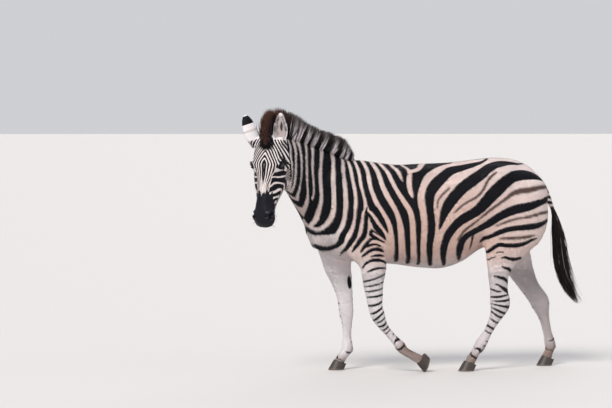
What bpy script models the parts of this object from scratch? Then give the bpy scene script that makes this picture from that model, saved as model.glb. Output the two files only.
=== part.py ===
"""A plains zebra at life size, standing in mid-walk with its head turned to its left.

Metres, +Z up. The nose points along -X and the animal's left side faces -Y. The flesh is one body,
lofted from sections and muscles, joined, smoothed and then parted with thin cuts into head, neck,
trunk, tail, ears and legs. Hooves, eyes, mane and tail tuft are pieces of their own.
"""

from math import cos, pi, radians, sin

import bmesh
import bpy
import numpy as np
from mathutils import Matrix, Vector

# Driving dimensions
GAP = 0.0003  # clearance between pieces that touch
VOXEL = 0.009  # grain at which the sections and muscles are fused
FLESH_SHARE = 0.034  # share of the fused body's triangles that is kept
FACE_AZIMUTH = -34.0  # degrees: where the face points, 0 is -Y and -90 is -X
FACE_PITCH = 72.5  # degrees that the face hangs below the horizontal
POLL = (-1.055, -0.210, 1.468)  # top of the skull, between the ears
EAR_LENGTH = 0.205
EAR_WIDTH = 0.094
EAR_SUNK = 0.030  # how far the foot of an ear reaches into the head
EAR_RINGS = 9
EAR_POINTS = 7
EYE_RADIUS = 0.0215
EYE_PLACE = (0.0865, 0.178, -0.044)  # to the side, down the face and out of the brow
HOOF_LENGTH = 0.100
HOOF_WIDTH = 0.080
HOOF_HEIGHT = 0.052
LEFT = -0.130  # how far each pair of legs stands from the middle plane
RIGHT = 0.125

# Trunk sections: x, top, bottom, height of the widest place, half width, roundness above and below
TRUNK = (
    (-0.786, 1.000, 0.910, 0.955, 0.030, 2.0, 2.0),
    (-0.762, 1.100, 0.835, 0.960, 0.082, 2.0, 2.0),
    (-0.700, 1.205, 0.764, 0.965, 0.128, 2.0, 2.0),
    (-0.600, 1.286, 0.708, 0.970, 0.164, 1.9, 2.0),
    (-0.460, 1.318, 0.680, 0.960, 0.188, 1.7, 2.1),
    (-0.340, 1.303, 0.672, 0.940, 0.206, 1.8, 2.1),
    (-0.220, 1.288, 0.663, 0.920, 0.223, 1.9, 2.1),
    (-0.050, 1.292, 0.640, 0.910, 0.240, 2.0, 2.1),
    (0.100, 1.297, 0.637, 0.920, 0.243, 2.1, 2.1),
    (0.220, 1.306, 0.676, 0.950, 0.235, 2.1, 2.0),
    (0.330, 1.320, 0.748, 1.000, 0.221, 2.1, 2.0),
    (0.470, 1.328, 0.790, 1.030, 0.212, 2.0, 2.0),
    (0.600, 1.303, 0.815, 1.040, 0.186, 1.9, 2.0),
    (0.700, 1.236, 0.860, 1.040, 0.138, 1.9, 2.0),
    (0.746, 1.160, 0.930, 1.040, 0.085, 2.0, 2.0),
    (0.766, 1.100, 0.990, 1.040, 0.040, 2.0, 2.0),
)

# Neck sections: crest x, y, z, then underside x, y, z, then half width
NECK = (
    (-0.440, 0.000, 1.290, -0.660, 0.000, 0.800, 0.155),
    (-0.550, 0.000, 1.335, -0.765, -0.005, 0.890, 0.145),
    (-0.660, -0.035, 1.380, -0.820, -0.025, 0.985, 0.122),
    (-0.760, -0.085, 1.415, -0.868, -0.065, 1.055, 0.104),
    (-0.860, -0.130, 1.446, -0.912, -0.110, 1.115, 0.091),
    (-0.950, -0.170, 1.466, -0.950, -0.155, 1.170, 0.083),
    (-1.020, -0.198, 1.470, -0.985, -0.195, 1.210, 0.076),
)

# Head sections: distance down the face, top, bottom, half width of brow, cheek and jaw
HEAD = (
    (-0.040, -0.045, -0.100, 0.028, 0.034, 0.028),
    (-0.015, -0.014, -0.160, 0.052, 0.068, 0.048),
    (0.040, 0.006, -0.212, 0.074, 0.098, 0.058),
    (0.100, 0.014, -0.246, 0.090, 0.112, 0.058),
    (0.150, 0.014, -0.258, 0.090, 0.112, 0.056),
    (0.200, 0.008, -0.258, 0.074, 0.108, 0.056),
    (0.250, 0.001, -0.250, 0.062, 0.100, 0.055),
    (0.300, -0.006, -0.234, 0.053, 0.088, 0.050),
    (0.350, -0.012, -0.208, 0.047, 0.072, 0.044),
    (0.400, -0.018, -0.181, 0.045, 0.061, 0.040),
    (0.440, -0.024, -0.167, 0.048, 0.061, 0.040),
    (0.480, -0.032, -0.161, 0.053, 0.067, 0.043),
    (0.512, -0.046, -0.155, 0.051, 0.067, 0.044),
    (0.536, -0.062, -0.144, 0.041, 0.055, 0.038),
    (0.552, -0.085, -0.124, 0.018, 0.026, 0.018),
)

# Leg sections: x, y, z, half depth fore and aft, half width
FORE_LEFT = (
    (-0.520, -0.120, 0.900, 0.100, 0.060),
    (-0.455, LEFT, 0.800, 0.115, 0.064),
    (-0.395, LEFT - 0.006, 0.720, 0.102, 0.062),
    (-0.378, LEFT - 0.004, 0.650, 0.087, 0.056),
    (-0.378, LEFT, 0.560, 0.071, 0.047),
    (-0.370, LEFT, 0.470, 0.056, 0.039),
    (-0.362, LEFT, 0.400, 0.047, 0.036),
    (-0.346, LEFT, 0.350, 0.046, 0.038),
    (-0.326, LEFT, 0.308, 0.036, 0.032),
    (-0.302, LEFT, 0.272, 0.029, 0.025),
    (-0.268, LEFT, 0.232, 0.027, 0.022),
    (-0.235, LEFT, 0.196, 0.029, 0.024),
    (-0.204, LEFT, 0.160, 0.036, 0.031),
    (-0.180, LEFT, 0.132, 0.030, 0.028),
    (-0.140, LEFT, 0.110, 0.027, 0.027),
    (-0.105, LEFT, 0.097, 0.032, 0.031),
    (-0.082, LEFT, 0.088, 0.032, 0.030),
)
FORE_RIGHT = (
    (-0.590, 0.110, 0.900, 0.100, 0.060),
    (-0.570, RIGHT, 0.800, 0.115, 0.064),
    (-0.552, RIGHT + 0.004, 0.720, 0.108, 0.062),
    (-0.544, RIGHT + 0.002, 0.650, 0.094, 0.056),
    (-0.520, RIGHT, 0.560, 0.073, 0.047),
    (-0.500, RIGHT, 0.470, 0.056, 0.040),
    (-0.492, RIGHT, 0.400, 0.049, 0.038),
    (-0.489, RIGHT, 0.350, 0.048, 0.039),
    (-0.485, RIGHT, 0.305, 0.038, 0.032),
    (-0.484, RIGHT, 0.260, 0.032, 0.026),
    (-0.484, RIGHT, 0.200, 0.031, 0.025),
    (-0.483, RIGHT, 0.155, 0.037, 0.031),
    (-0.484, RIGHT, 0.128, 0.038, 0.033),
    (-0.500, RIGHT, 0.098, 0.030, 0.029),
    (-0.522, RIGHT, 0.070, 0.033, 0.032),
    (-0.535, RIGHT, 0.050, 0.033, 0.031),
)
HIND_LEFT = (
    (0.530, -0.100, 1.120, 0.170, 0.085),
    (0.545, -0.118, 1.020, 0.208, 0.098),
    (0.530, -0.124, 0.920, 0.212, 0.098),
    (0.490, -0.130, 0.830, 0.180, 0.088),
    (0.463, LEFT - 0.004, 0.750, 0.140, 0.074),
    (0.440, LEFT, 0.675, 0.101, 0.061),
    (0.427, LEFT, 0.605, 0.074, 0.050),
    (0.426, LEFT, 0.540, 0.064, 0.043),
    (0.430, LEFT, 0.485, 0.062, 0.038),
    (0.437, LEFT, 0.440, 0.067, 0.037),
    (0.435, LEFT, 0.405, 0.066, 0.038),
    (0.422, LEFT, 0.365, 0.052, 0.037),
    (0.404, LEFT, 0.325, 0.039, 0.032),
    (0.384, LEFT, 0.288, 0.033, 0.027),
    (0.362, LEFT, 0.248, 0.030, 0.025),
    (0.340, LEFT, 0.210, 0.032, 0.026),
    (0.320, LEFT, 0.178, 0.038, 0.031),
    (0.303, LEFT, 0.152, 0.036, 0.031),
    (0.278, LEFT, 0.115, 0.029, 0.028),
    (0.255, LEFT, 0.078, 0.033, 0.031),
    (0.243, LEFT, 0.055, 0.033, 0.030),
)
HIND_RIGHT = (
    (0.545, 0.100, 1.120, 0.170, 0.085),
    (0.570, 0.116, 1.020, 0.190, 0.098),
    (0.575, 0.122, 0.920, 0.185, 0.098),
    (0.578, 0.128, 0.830, 0.155, 0.088),
    (0.590, RIGHT + 0.004, 0.750, 0.126, 0.074),
    (0.625, RIGHT + 0.004, 0.665, 0.104, 0.062),
    (0.664, RIGHT + 0.004, 0.585, 0.083, 0.052),
    (0.703, RIGHT + 0.004, 0.515, 0.068, 0.044),
    (0.742, RIGHT + 0.004, 0.460, 0.063, 0.039),
    (0.770, RIGHT + 0.004, 0.420, 0.065, 0.038),
    (0.784, RIGHT + 0.004, 0.385, 0.062, 0.038),
    (0.796, RIGHT + 0.004, 0.340, 0.046, 0.035),
    (0.808, RIGHT + 0.004, 0.295, 0.036, 0.029),
    (0.820, RIGHT + 0.004, 0.245, 0.032, 0.026),
    (0.832, RIGHT + 0.004, 0.195, 0.032, 0.025),
    (0.843, RIGHT + 0.004, 0.150, 0.037, 0.031),
    (0.847, RIGHT + 0.004, 0.122, 0.036, 0.032),
    (0.840, RIGHT + 0.004, 0.092, 0.030, 0.029),
    (0.829, RIGHT + 0.004, 0.065, 0.033, 0.032),
    (0.823, RIGHT + 0.004, 0.048, 0.033, 0.031),
)

# Muscles that stand proud of the sections: centre, half lengths, tilt in degrees about Y
MUSCLES = (
    ((-0.560, 0.108, 1.070), (0.090, 0.070, 0.200), -24.0),  # shoulder blade
    ((-0.470, 0.122, 0.880), (0.120, 0.070, 0.130), 20.0),  # triceps
    ((-0.660, 0.088, 0.890), (0.075, 0.070, 0.105), -15.0),  # point of the shoulder
    ((-0.690, 0.050, 0.840), (0.055, 0.055, 0.085), 10.0),  # breast
    ((0.430, 0.122, 1.180), (0.170, 0.085, 0.110), 8.0),  # top of the haunch
    ((0.590, 0.114, 1.080), (0.165, 0.096, 0.170), 25.0),  # haunch
    ((0.360, 0.126, 0.900), (0.080, 0.080, 0.140), -25.0),  # stifle
    ((-0.060, 0.080, 1.215), (0.300, 0.075, 0.060), 0.0),  # muscle along the back
)

# The mane, from the forelock to the withers: x, y, z of its foot, then x, y, z of its edge
MANE = (
    (-1.080, -0.242, 1.402, -1.086, -0.250, 1.420),
    (-1.072, -0.232, 1.432, -1.102, -0.262, 1.505),
    (-1.056, -0.212, 1.462, -1.090, -0.244, 1.606),
    (-1.005, -0.190, 1.466, -1.025, -0.206, 1.644),
    (-0.930, -0.162, 1.452, -0.920, -0.162, 1.620),
    (-0.840, -0.122, 1.430, -0.812, -0.120, 1.560),
    (-0.740, -0.075, 1.396, -0.703, -0.073, 1.517),
    (-0.640, -0.030, 1.360, -0.606, -0.028, 1.483),
    (-0.550, -0.004, 1.330, -0.524, -0.002, 1.440),
    (-0.500, 0.000, 1.314, -0.488, 0.000, 1.385),
    (-0.472, 0.000, 1.306, -0.466, 0.000, 1.328),
)
MANE_SECTION = ((-0.12, 0.024), (0.35, 0.021), (0.80, 0.015), (0.97, 0.007))  # share of height, half thickness

# Tail: x, z, half depth, half width, down the middle plane
DOCK = (
    (0.690, 1.195, 0.045, 0.045),
    (0.742, 1.150, 0.034, 0.034),
    (0.786, 1.080, 0.025, 0.027),
    (0.816, 1.008, 0.020, 0.022),
    (0.838, 0.940, 0.020, 0.021),
    (0.846, 0.905, 0.020, 0.021),
)
TUFT = (
    (0.838, 0.937, 0.022, 0.023),
    (0.848, 0.880, 0.031, 0.034),
    (0.858, 0.790, 0.038, 0.042),
    (0.870, 0.680, 0.041, 0.045),
    (0.895, 0.570, 0.040, 0.043),
    (0.932, 0.480, 0.031, 0.032),
    (0.968, 0.422, 0.015, 0.016),
    (0.984, 0.400, 0.004, 0.004),
)
TUFT_TOP = 0.928  # height at which the long hair closes over the dock

SIDEWAYS = np.array((0.0, 1.0, 0.0))


# Frames and curves


def face_axes():
    """The head's own directions: to its left, down the face, and out of the brow."""
    turn = radians(FACE_AZIMUTH)
    drop = radians(FACE_PITCH)
    ahead = np.array((sin(turn), -cos(turn), 0.0))
    up = np.array((0.0, 0.0, 1.0))
    return np.cross(up, ahead), ahead * cos(drop) - up * sin(drop), ahead * sin(drop) + up * cos(drop)


TO_LEFT, DOWN_FACE, OUT_OF_BROW = face_axes()


def on_head(side, down, out):
    """A place on the head in the model's frame, from the head's own directions."""
    return np.array(POLL) + side * TO_LEFT + down * DOWN_FACE + out * OUT_OF_BROW


def smooth_rows(rows, step, measure=3):
    """The rows read off one smooth curve, about step apart along their first numbers."""
    table = np.array(rows, dtype=float)
    gaps = np.linalg.norm(np.diff(table[:, :measure], axis=0), axis=1)
    at = np.concatenate(([0.0], np.cumsum(gaps)))
    slopes = np.gradient(table, at, axis=0)
    wanted = np.linspace(0.0, at[-1], max(3, round(at[-1] / step) + 1))
    left = np.clip(np.searchsorted(at, wanted, side="right") - 1, 0, len(at) - 2)
    span = (at[left + 1] - at[left])[:, None]
    t = (wanted - at[left])[:, None] / span
    rise = 3 * t**2 - 2 * t**3
    lead = t - 2 * t**2 + t**3
    trail = t**3 - t**2
    ends = table[left] * (1 - rise) + table[left + 1] * rise
    return ends + (slopes[left] * lead + slopes[left + 1] * trail) * span


# Meshes


def mesh_object(name, bm, turn=True):
    """A new object that holds the bmesh, its faces turned out unless they already are."""
    if turn:
        bmesh.ops.recalc_face_normals(bm, faces=bm.faces)
    mesh = bpy.data.meshes.new(name)
    bm.to_mesh(mesh)
    bm.free()
    made = bpy.data.objects.new(name, mesh)
    bpy.context.scene.collection.objects.link(made)
    return made


def loft(name, rings):
    """A closed body through rings of equal count, capped at both ends."""
    bm = bmesh.new()
    rows = [[bm.verts.new(point) for point in ring] for ring in rings]
    count = len(rows[0])
    for low, high in zip(rows, rows[1:]):
        for k in range(count):
            bm.faces.new((low[k], low[(k + 1) % count], high[(k + 1) % count], high[k]))
    bm.faces.new(rows[0])
    bm.faces.new(rows[-1])
    bmesh.ops.triangulate(bm, faces=bm.faces)
    return mesh_object(name, bm)


def tube(name, rows, across=SIDEWAYS, step=0.02, sides=24):
    """An oval tube along rows of x, y, z, half depth and half width."""
    table = smooth_rows(rows, step)
    middles = table[:, :3]
    ahead = np.gradient(middles, axis=0)
    ahead /= np.linalg.norm(ahead, axis=1)[:, None]
    rings = []
    for middle, along, deep, wide in zip(middles, ahead, table[:, 3], table[:, 4]):
        side = across - along * (across @ along)
        side /= np.linalg.norm(side)
        fore = np.cross(along, side)
        turns = np.arange(sides) * 2 * pi / sides
        rings.append([middle + fore * deep * cos(a) + side * wide * sin(a) for a in turns])
    return loft(name, rings)


def trunk_mesh():
    """The barrel, from its chest to its buttocks."""
    rings = []
    table = smooth_rows(TRUNK, 0.02, 1)
    for x, top, bottom, middle, wide, round_above, round_below in table:
        ring = []
        for k in range(40):
            c = cos(k * pi / 20)
            s = sin(k * pi / 20)
            power = 2 / (round_above if s > 0 else round_below)
            rise = (top - middle) if s > 0 else (middle - bottom)
            z = middle + rise * np.sign(s) * abs(s) ** power
            ring.append((x, wide * np.sign(c) * abs(c) ** power, z))
        rings.append(ring)
    return loft("trunk_form", rings)


def neck_mesh():
    """The neck, egg-shaped in section and thinner towards its crest."""
    table = smooth_rows(NECK, 0.02, 6)
    crests = table[:, :3]
    unders = table[:, 3:6]
    ahead = np.gradient((crests + unders) / 2, axis=0)
    rings = []
    for crest, under, along, wide in zip(crests, unders, ahead, table[:, 6]):
        rise = (crest - under) / 2
        side = np.cross(rise, along)
        side /= np.linalg.norm(side)
        middle = (crest + under) / 2
        ring = []
        for k in range(32):
            c = cos(k * pi / 16)
            thin = 1.0 - 0.26 * c - 0.10 * c * c
            ring.append(middle + rise * c + side * wide * thin * sin(k * pi / 16))
        rings.append(ring)
    return loft("neck_form", rings)


def head_mesh():
    """The skull and jaw, through brow, cheek and jaw widths."""
    rings = []
    for down, top, bottom, brow, cheek, jaw in smooth_rows(HEAD, 0.012, 1):
        deep = top - bottom
        half = (
            (0.0, top),
            (brow * 0.62, top - 0.025 * deep),
            (brow, top - 0.14 * deep),
            (cheek, top - 0.42 * deep),
            (cheek * 0.86, top - 0.66 * deep),
            (jaw, top - 0.90 * deep),
            (jaw * 0.45, bottom),
        )
        mirrored = [(-side, out) for side, out in reversed(half[1:])]
        outline = closed_curve(half + tuple(mirrored), 40)
        rings.append([on_head(side, down, out) for side, out in outline])
    return loft("head_form", rings)


def closed_curve(points, count):
    """Even places on a smooth closed curve through the points."""
    fixed = np.array(points, dtype=float)
    turns = np.arange(count) * len(fixed) / count
    left = turns.astype(int)
    t = (turns - left)[:, None]
    before, here, there, after = (fixed[(left + k) % len(fixed)] for k in (-1, 0, 1, 2))
    bend = (there - before) * t + (2 * before - 5 * here + 4 * there - after) * t**2
    return here + 0.5 * (bend + (3 * here - before - 3 * there + after) * t**3)


def ball(name, middle, halves, tilt=0.0, fineness=24):
    """An ellipsoid, tilted about Y."""
    bm = bmesh.new()
    bmesh.ops.create_uvsphere(bm, u_segments=fineness, v_segments=fineness // 2, radius=1.0)
    place = Matrix.Translation(middle) @ Matrix.Rotation(radians(tilt), 4, "Y") @ Matrix.Diagonal((*halves, 1.0))
    bmesh.ops.transform(bm, matrix=place, verts=bm.verts)
    return mesh_object(name, bm)


def head_ball(name, side, down, out, halves, fineness=16):
    """An ellipsoid in the head's own directions."""
    bm = bmesh.new()
    bmesh.ops.create_uvsphere(bm, u_segments=fineness, v_segments=fineness // 2, radius=1.0)
    for v in bm.verts:
        v.co = on_head(side + v.co.x * halves[0], down + v.co.y * halves[1], out + v.co.z * halves[2])
    return mesh_object(name, bm)


def ear_mesh(name, side):
    """A cupped leaf: crescent sections from a round foot to a rounded tip. side is 1 for the left ear."""
    if side > 0:
        foot = Vector(on_head(0.072, 0.036, -0.026))
        up = Vector((0.03, 0.02, 1.0)).normalized()
        opens = Vector((-0.42, -0.90, 0.0))
    else:
        foot = Vector(on_head(-0.106, 0.034, -0.040))
        up = Vector((-0.31, 0.05, 0.94)).normalized()
        opens = Vector((-0.10, 0.99, 0.0))
    opens = (opens - up * opens.dot(up)).normalized()
    across = up.cross(opens)
    rings = []
    for k in range(EAR_RINGS):
        t = k / (EAR_RINGS - 1)
        wide = EAR_WIDTH / 2 * (0.40 + 0.60 * sin(min(1.0, t / 0.52) * pi / 2)) * (1.0 - t**3.2) ** 0.5
        wide = max(wide, 0.004)
        deep = 0.030 * (1.0 - 0.45 * t) * (1.0 - t**4) + 0.003
        spread = radians(150 - 62 * min(1.0, t / 0.45))
        wall = min(0.0085 - 0.0035 * t, wide * 0.6)
        outer = []
        inner = []
        for j in range(EAR_POINTS):
            a = spread * (2 * j / (EAR_POINTS - 1) - 1)
            fan = sin(a) / sin(min(spread, pi / 2))
            outer.append((wide * fan, -deep * cos(a)))
            inner.append(((wide - wall) * fan, -(deep - wall) * cos(a)))
        lift = foot + up * (t * EAR_LENGTH - EAR_SUNK)
        rings.append([lift + across * u + opens * v for u, v in outer + inner[::-1]])
    return loft(name, rings)


def hoof_mesh(name, toe_x, y, pitch=0.0, toe_z=0.0):
    """Horn from the sole to the coronet; pitch tips the foot up on its toe, and toe_x, toe_z place the toe."""
    rings = []
    for rise, grow, back, lean in HOOF_RINGS:
        ring = []
        for k in range(16):
            a = k * pi / 8
            along = HOOF_LENGTH / 2 * grow * (cos(a) - 0.10 * cos(a) ** 2) - back
            wide = HOOF_WIDTH / 2 * grow * sin(a) * (1.0 - 0.10 * cos(a))
            ring.append(hoof_place(along, wide, rise + lean * (along + back), toe_x, y, pitch, toe_z))
        rings.append(ring)
    return loft(name, rings)


HOOF_RINGS = (
    (0.0000, 0.97, 0.000, 0.00),
    (0.0030, 1.00, 0.001, 0.00),
    (0.0190, 0.93, 0.010, 0.10),
    (0.0350, 0.85, 0.019, 0.25),
    (HOOF_HEIGHT, 0.77, 0.029, 0.38),
)


def hoof_place(along, wide, rise, toe_x, y, pitch, toe_z):
    """From the hoof's own directions to the model's; the toe points along -X."""
    reach = along - HOOF_LENGTH / 2 * 0.87
    tip = radians(pitch)
    x = toe_x - (reach * cos(tip) + rise * sin(tip))
    z = toe_z + rise * cos(tip) - reach * sin(tip)
    return (x, y + wide, z)


def coronet_cutter(toe_x, y, pitch, toe_z):
    """A block that takes away the leg below the coronet, where the hoof begins."""
    rise, _, back, lean = HOOF_RINGS[-1]
    bm = bmesh.new()
    bmesh.ops.create_cube(bm, size=1.0)
    for v in bm.verts:
        along = v.co.x * 0.180
        top = rise + GAP + lean * (along + back)
        high = top if v.co.z > 0 else top - 0.120
        v.co = hoof_place(along, v.co.y * 0.120, high, toe_x, y, pitch, toe_z)
    return mesh_object("cutter", bm)


HOOVES = {
    "fore_left": (-0.048, LEFT, 72.0, -0.006),
    "fore_right": (-0.604, RIGHT, 0.0, 0.0),
    "hind_left": (0.168, LEFT, 0.0, 0.0),
    "hind_right": (0.757, RIGHT + 0.004, 0.0, 0.0),
}


def mane_mesh():
    """The upright mane: a thick comb from the forelock, over the crest, to the withers."""
    table = smooth_rows(MANE, 0.06)
    feet = table[:, :3]
    edges = table[:, 3:]
    ahead = np.gradient(feet, axis=0)
    rings = []
    for foot, edge, along in zip(feet, edges, ahead):
        rise = edge - foot
        side = np.cross(rise, along)
        side /= np.linalg.norm(side)
        full = min(1.0, np.linalg.norm(rise) / 0.06)
        left = [foot + rise * share + side * thick * full for share, thick in MANE_SECTION]
        right = [foot + rise * share - side * thick * full for share, thick in reversed(MANE_SECTION)]
        rings.append(left + [edge] + right)
    return loft("mane", rings)


# Fusing, smoothing and cutting


def evaluated(thing, name):
    """A new object with the modifiers of thing worked in; thing is removed."""
    graph = bpy.context.evaluated_depsgraph_get()
    mesh = bpy.data.meshes.new_from_object(thing.evaluated_get(graph))
    made = bpy.data.objects.new(name, mesh)
    bpy.context.scene.collection.objects.link(made)
    bpy.data.objects.remove(thing)
    return made


def joined(name, things):
    """One object with all the meshes; the things are removed."""
    bm = bmesh.new()
    for thing in things:
        bm.from_mesh(thing.data)
        bpy.data.objects.remove(thing)
    return mesh_object(name, bm)


def drop_slivers(thing):
    """Takes out what a cut leaves behind: edges too short to see, and pairs of faces back to back."""
    bm = bmesh.new()
    bm.from_mesh(thing.data)
    bmesh.ops.triangulate(bm, faces=bm.faces)
    bmesh.ops.dissolve_degenerate(bm, dist=0.00005, edges=bm.edges)
    bmesh.ops.triangulate(bm, faces=bm.faces)
    groups = {}
    for face in bm.faces:
        groups.setdefault(frozenset(face.verts), []).append(face)
    pairs = [face for group in groups.values() if len(group) > 1 for face in group]
    bmesh.ops.delete(bm, geom=pairs, context="FACES")
    bm.to_mesh(thing.data)
    bm.free()


def boolean(thing, other, operation, name=None):
    """thing with other added or taken away; other is removed."""
    bpy.context.view_layer.update()
    cut = thing.modifiers.new("cut", "BOOLEAN")
    cut.operation = operation
    cut.solver = "EXACT"
    cut.object = other
    made = evaluated(thing, name or thing.name)
    bpy.data.objects.remove(other)
    drop_slivers(made)
    return made


def slab(middle, normal, across, reach, width, thick=GAP + 0.0001):
    """A thin plate for a cut: its middle, its normal, its long direction and its two spans."""
    n = Vector(normal).normalized()
    a = Vector(across)
    a = (a - n * a.dot(n)).normalized()
    b = n.cross(a)
    turn = Matrix((a, b, n)).transposed().to_4x4()
    bm = bmesh.new()
    size = Matrix.Diagonal((reach, width, thick, 1.0))
    bmesh.ops.create_cube(bm, size=1.0, matrix=Matrix.Translation(middle) @ turn @ size)
    return mesh_object("cutter", bm)


def softness(point):
    """How freely the fused surface may be smoothed at a point: least on the face and the lower legs."""
    if point.x < -0.93 and point.z > 0.85:
        return 0.22
    return 0.10 + 0.90 * min(1.0, max(0.0, (point.z - 0.38) / 0.30))


def spareness(point):
    """How freely triangles may be thinned out at a point: most on the trunk, least on the face."""
    if point.x < -0.93 and point.z > 0.85:
        return 0.989
    return 0.996 if point.z < 0.62 else 1.0


def flesh():
    """The whole body with its coat, fused, smoothed and thinned to few triangles."""
    forms = [trunk_mesh(), neck_mesh(), head_mesh()]
    forms += [tube("leg", rows) for rows in (FORE_LEFT, FORE_RIGHT, HIND_LEFT, HIND_RIGHT)]
    forms.append(tube("dock", [(x, 0.0, z, deep, wide) for x, z, deep, wide in DOCK]))
    for middle, halves, tilt in MUSCLES:
        for side in (-1, 1):
            place = (middle[0] + leg_shift(middle, side), middle[1] * side, middle[2])
            forms.append(ball("muscle", place, halves, tilt))
    for side in (-1, 1):
        for out_to_side, down, out, halves in HEAD_FORMS:
            forms.append(head_ball("form", side * out_to_side, down, out, halves))
    body = joined("flesh", forms)
    fuse = body.modifiers.new("fuse", "REMESH")
    fuse.mode = "VOXEL"
    fuse.voxel_size = VOXEL
    body = evaluated(body, "flesh")
    soft = body.vertex_groups.new(name="soft")
    spare = body.vertex_groups.new(name="spare")
    for vertex in body.data.vertices:
        soft.add((vertex.index,), softness(vertex.co), "REPLACE")
        spare.add((vertex.index,), spareness(vertex.co), "REPLACE")
    ease = body.modifiers.new("ease", "SMOOTH")
    ease.vertex_group = "soft"
    ease.factor = 0.5
    ease.iterations = 16
    thin = body.modifiers.new("thin", "DECIMATE")
    thin.ratio = FLESH_SHARE
    thin.vertex_group = "spare"
    thin.vertex_group_factor = 1.0
    return evaluated(body, "flesh")


# Forms of the head that stand proud of its sections: to the side, down, out, half lengths
HEAD_FORMS = (
    (0.076, 0.176, -0.036, (0.032, 0.040, 0.036)),  # eye socket
    (0.076, 0.030, -0.048, (0.036, 0.036, 0.042)),  # root of the ear
    (0.046, 0.486, -0.064, (0.024, 0.030, 0.026)),  # nostril
    (0.056, 0.185, -0.170, (0.050, 0.110, 0.078)),  # cheek muscle
    (0.012, 0.518, -0.140, (0.026, 0.024, 0.020)),  # chin
)


def leg_shift(middle, side):
    """The right legs stand further back or forward than the left ones, and so do their muscles."""
    if middle[2] > 1.0:
        return 0.0
    if middle[0] > 0.2:
        return 0.06 * (side + 1) / 2
    if middle[2] > 0.85:
        return -0.03 * (side + 1) / 2
    return 0.0


def loose_pieces(thing):
    """The separate bodies of a mesh, each as an object of its own; thing is removed."""
    bm = bmesh.new()
    bm.from_mesh(thing.data)
    bpy.data.objects.remove(thing)
    bm.verts.ensure_lookup_table()
    waiting = set(range(len(bm.verts)))
    pieces = []
    for start in range(len(bm.verts)):
        if start not in waiting:
            continue
        waiting.remove(start)
        group = [start]
        for index in group:
            for edge in bm.verts[index].link_edges:
                other = edge.other_vert(bm.verts[index]).index
                if other in waiting:
                    waiting.remove(other)
                    group.append(other)
        piece = bmesh.new()
        made = {index: piece.verts.new(bm.verts[index].co) for index in group}
        for face in bm.faces:
            if face.verts[0].index in made:
                piece.faces.new([made[v.index] for v in face.verts])
        pieces.append(mesh_object("piece", piece, turn=False))
    bm.free()
    return pieces


def largest(thing):
    """Only the piece of thing with the most points, where a cut left crumbs."""
    pieces = sorted(loose_pieces(thing), key=lambda piece: len(piece.data.vertices))
    for crumb in pieces[:-1]:
        bpy.data.objects.remove(crumb)
    return pieces[-1]


def nearness(thing, point):
    """How close the body's own points come to a point."""
    return min((v.co - Vector(point)).length for v in thing.data.vertices)


def parted(body):
    """The flesh cut at its joints, as {name: object}, each piece known by a point inside it."""
    pieces = [body]
    for middle, normal, across, reach, width in CUTS:
        whole = min(pieces, key=lambda piece: nearness(piece, middle))
        pieces.remove(whole)
        cut = boolean(whole, slab(middle, normal, across, reach, width), "DIFFERENCE")
        pieces += loose_pieces(cut)
    named = {}
    for piece in pieces:
        centre = sum((v.co for v in piece.data.vertices), Vector()) / len(piece.data.vertices)
        name = min(NAMES, key=lambda n: (Vector(NAMES[n]) - centre).length)
        piece.name = name
        named[name] = piece
    return named


CUTS = (
    ((-0.640, 0.0, 1.120), (-0.826, 0.0, 0.564), (0, 1, 0), 0.50, 0.62),
    ((-0.950, -0.150, 1.300), (0.99, 0.10, 0.10), (0, 1, 0), 0.40, 0.44),
    ((0.766, 0.0, 1.090), (0.986, 0.0, 0.166), (0, 1, 0), 0.17, 0.28),
    ((-0.430, 0.0, 0.648), (0, 0, 1), (1, 0, 0), 0.46, 0.60),
    ((0.560, 0.0, 0.745), (0, 0, 1), (1, 0, 0), 0.50, 0.60),
    ((-0.355, LEFT, 0.372), (-0.28, 0, 0.96), (0, 1, 0), 0.14, 0.16),
    ((-0.490, RIGHT, 0.372), (0, 0, 1), (0, 1, 0), 0.14, 0.16),
    ((0.430, LEFT, 0.395), (0.35, 0, 0.94), (0, 1, 0), 0.14, 0.20),
    ((0.782, RIGHT, 0.395), (-0.25, 0, 0.97), (0, 1, 0), 0.14, 0.20),
)
NAMES = {
    "head": (-1.15, -0.30, 1.25),
    "neck": (-0.80, -0.10, 1.23),
    "trunk": (0.0, 0.0, 1.0),
    "tail": (0.80, 0.0, 1.03),
    "foreleg_left_upper": (-0.37, LEFT, 0.50),
    "foreleg_left_lower": (-0.25, LEFT, 0.20),
    "foreleg_right_upper": (-0.51, RIGHT, 0.50),
    "foreleg_right_lower": (-0.49, RIGHT, 0.20),
    "hindleg_left_upper": (0.43, LEFT, 0.58),
    "hindleg_left_lower": (0.35, LEFT, 0.20),
    "hindleg_right_upper": (0.66, RIGHT, 0.58),
    "hindleg_right_lower": (0.82, RIGHT, 0.20),
}


def swollen(thing, amount):
    """A copy of a piece, a little larger all over, to cut the gap for it."""
    mesh = thing.data.copy()
    normals = [v.normal.copy() for v in mesh.vertices]
    for v, normal in zip(mesh.vertices, normals):
        v.co += normal * amount
    made = bpy.data.objects.new("cutter", mesh)
    bpy.context.scene.collection.objects.link(made)
    return made


def material(name, colour, roughness):
    """A plain finish for a piece."""
    made = bpy.data.materials.new(name)
    made.use_nodes = True
    shader = made.node_tree.nodes["Principled BSDF"]
    shader.inputs["Base Color"].default_value = (*colour, 1.0)
    shader.inputs["Roughness"].default_value = roughness
    return made


def block(low, high):
    """A box between two corners."""
    bm = bmesh.new()
    bmesh.ops.create_cube(bm, size=1.0)
    for v in bm.verts:
        v.co = [low[k] if v.co[k] < 0 else high[k] for k in range(3)]
    return mesh_object("cutter", bm)


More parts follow.
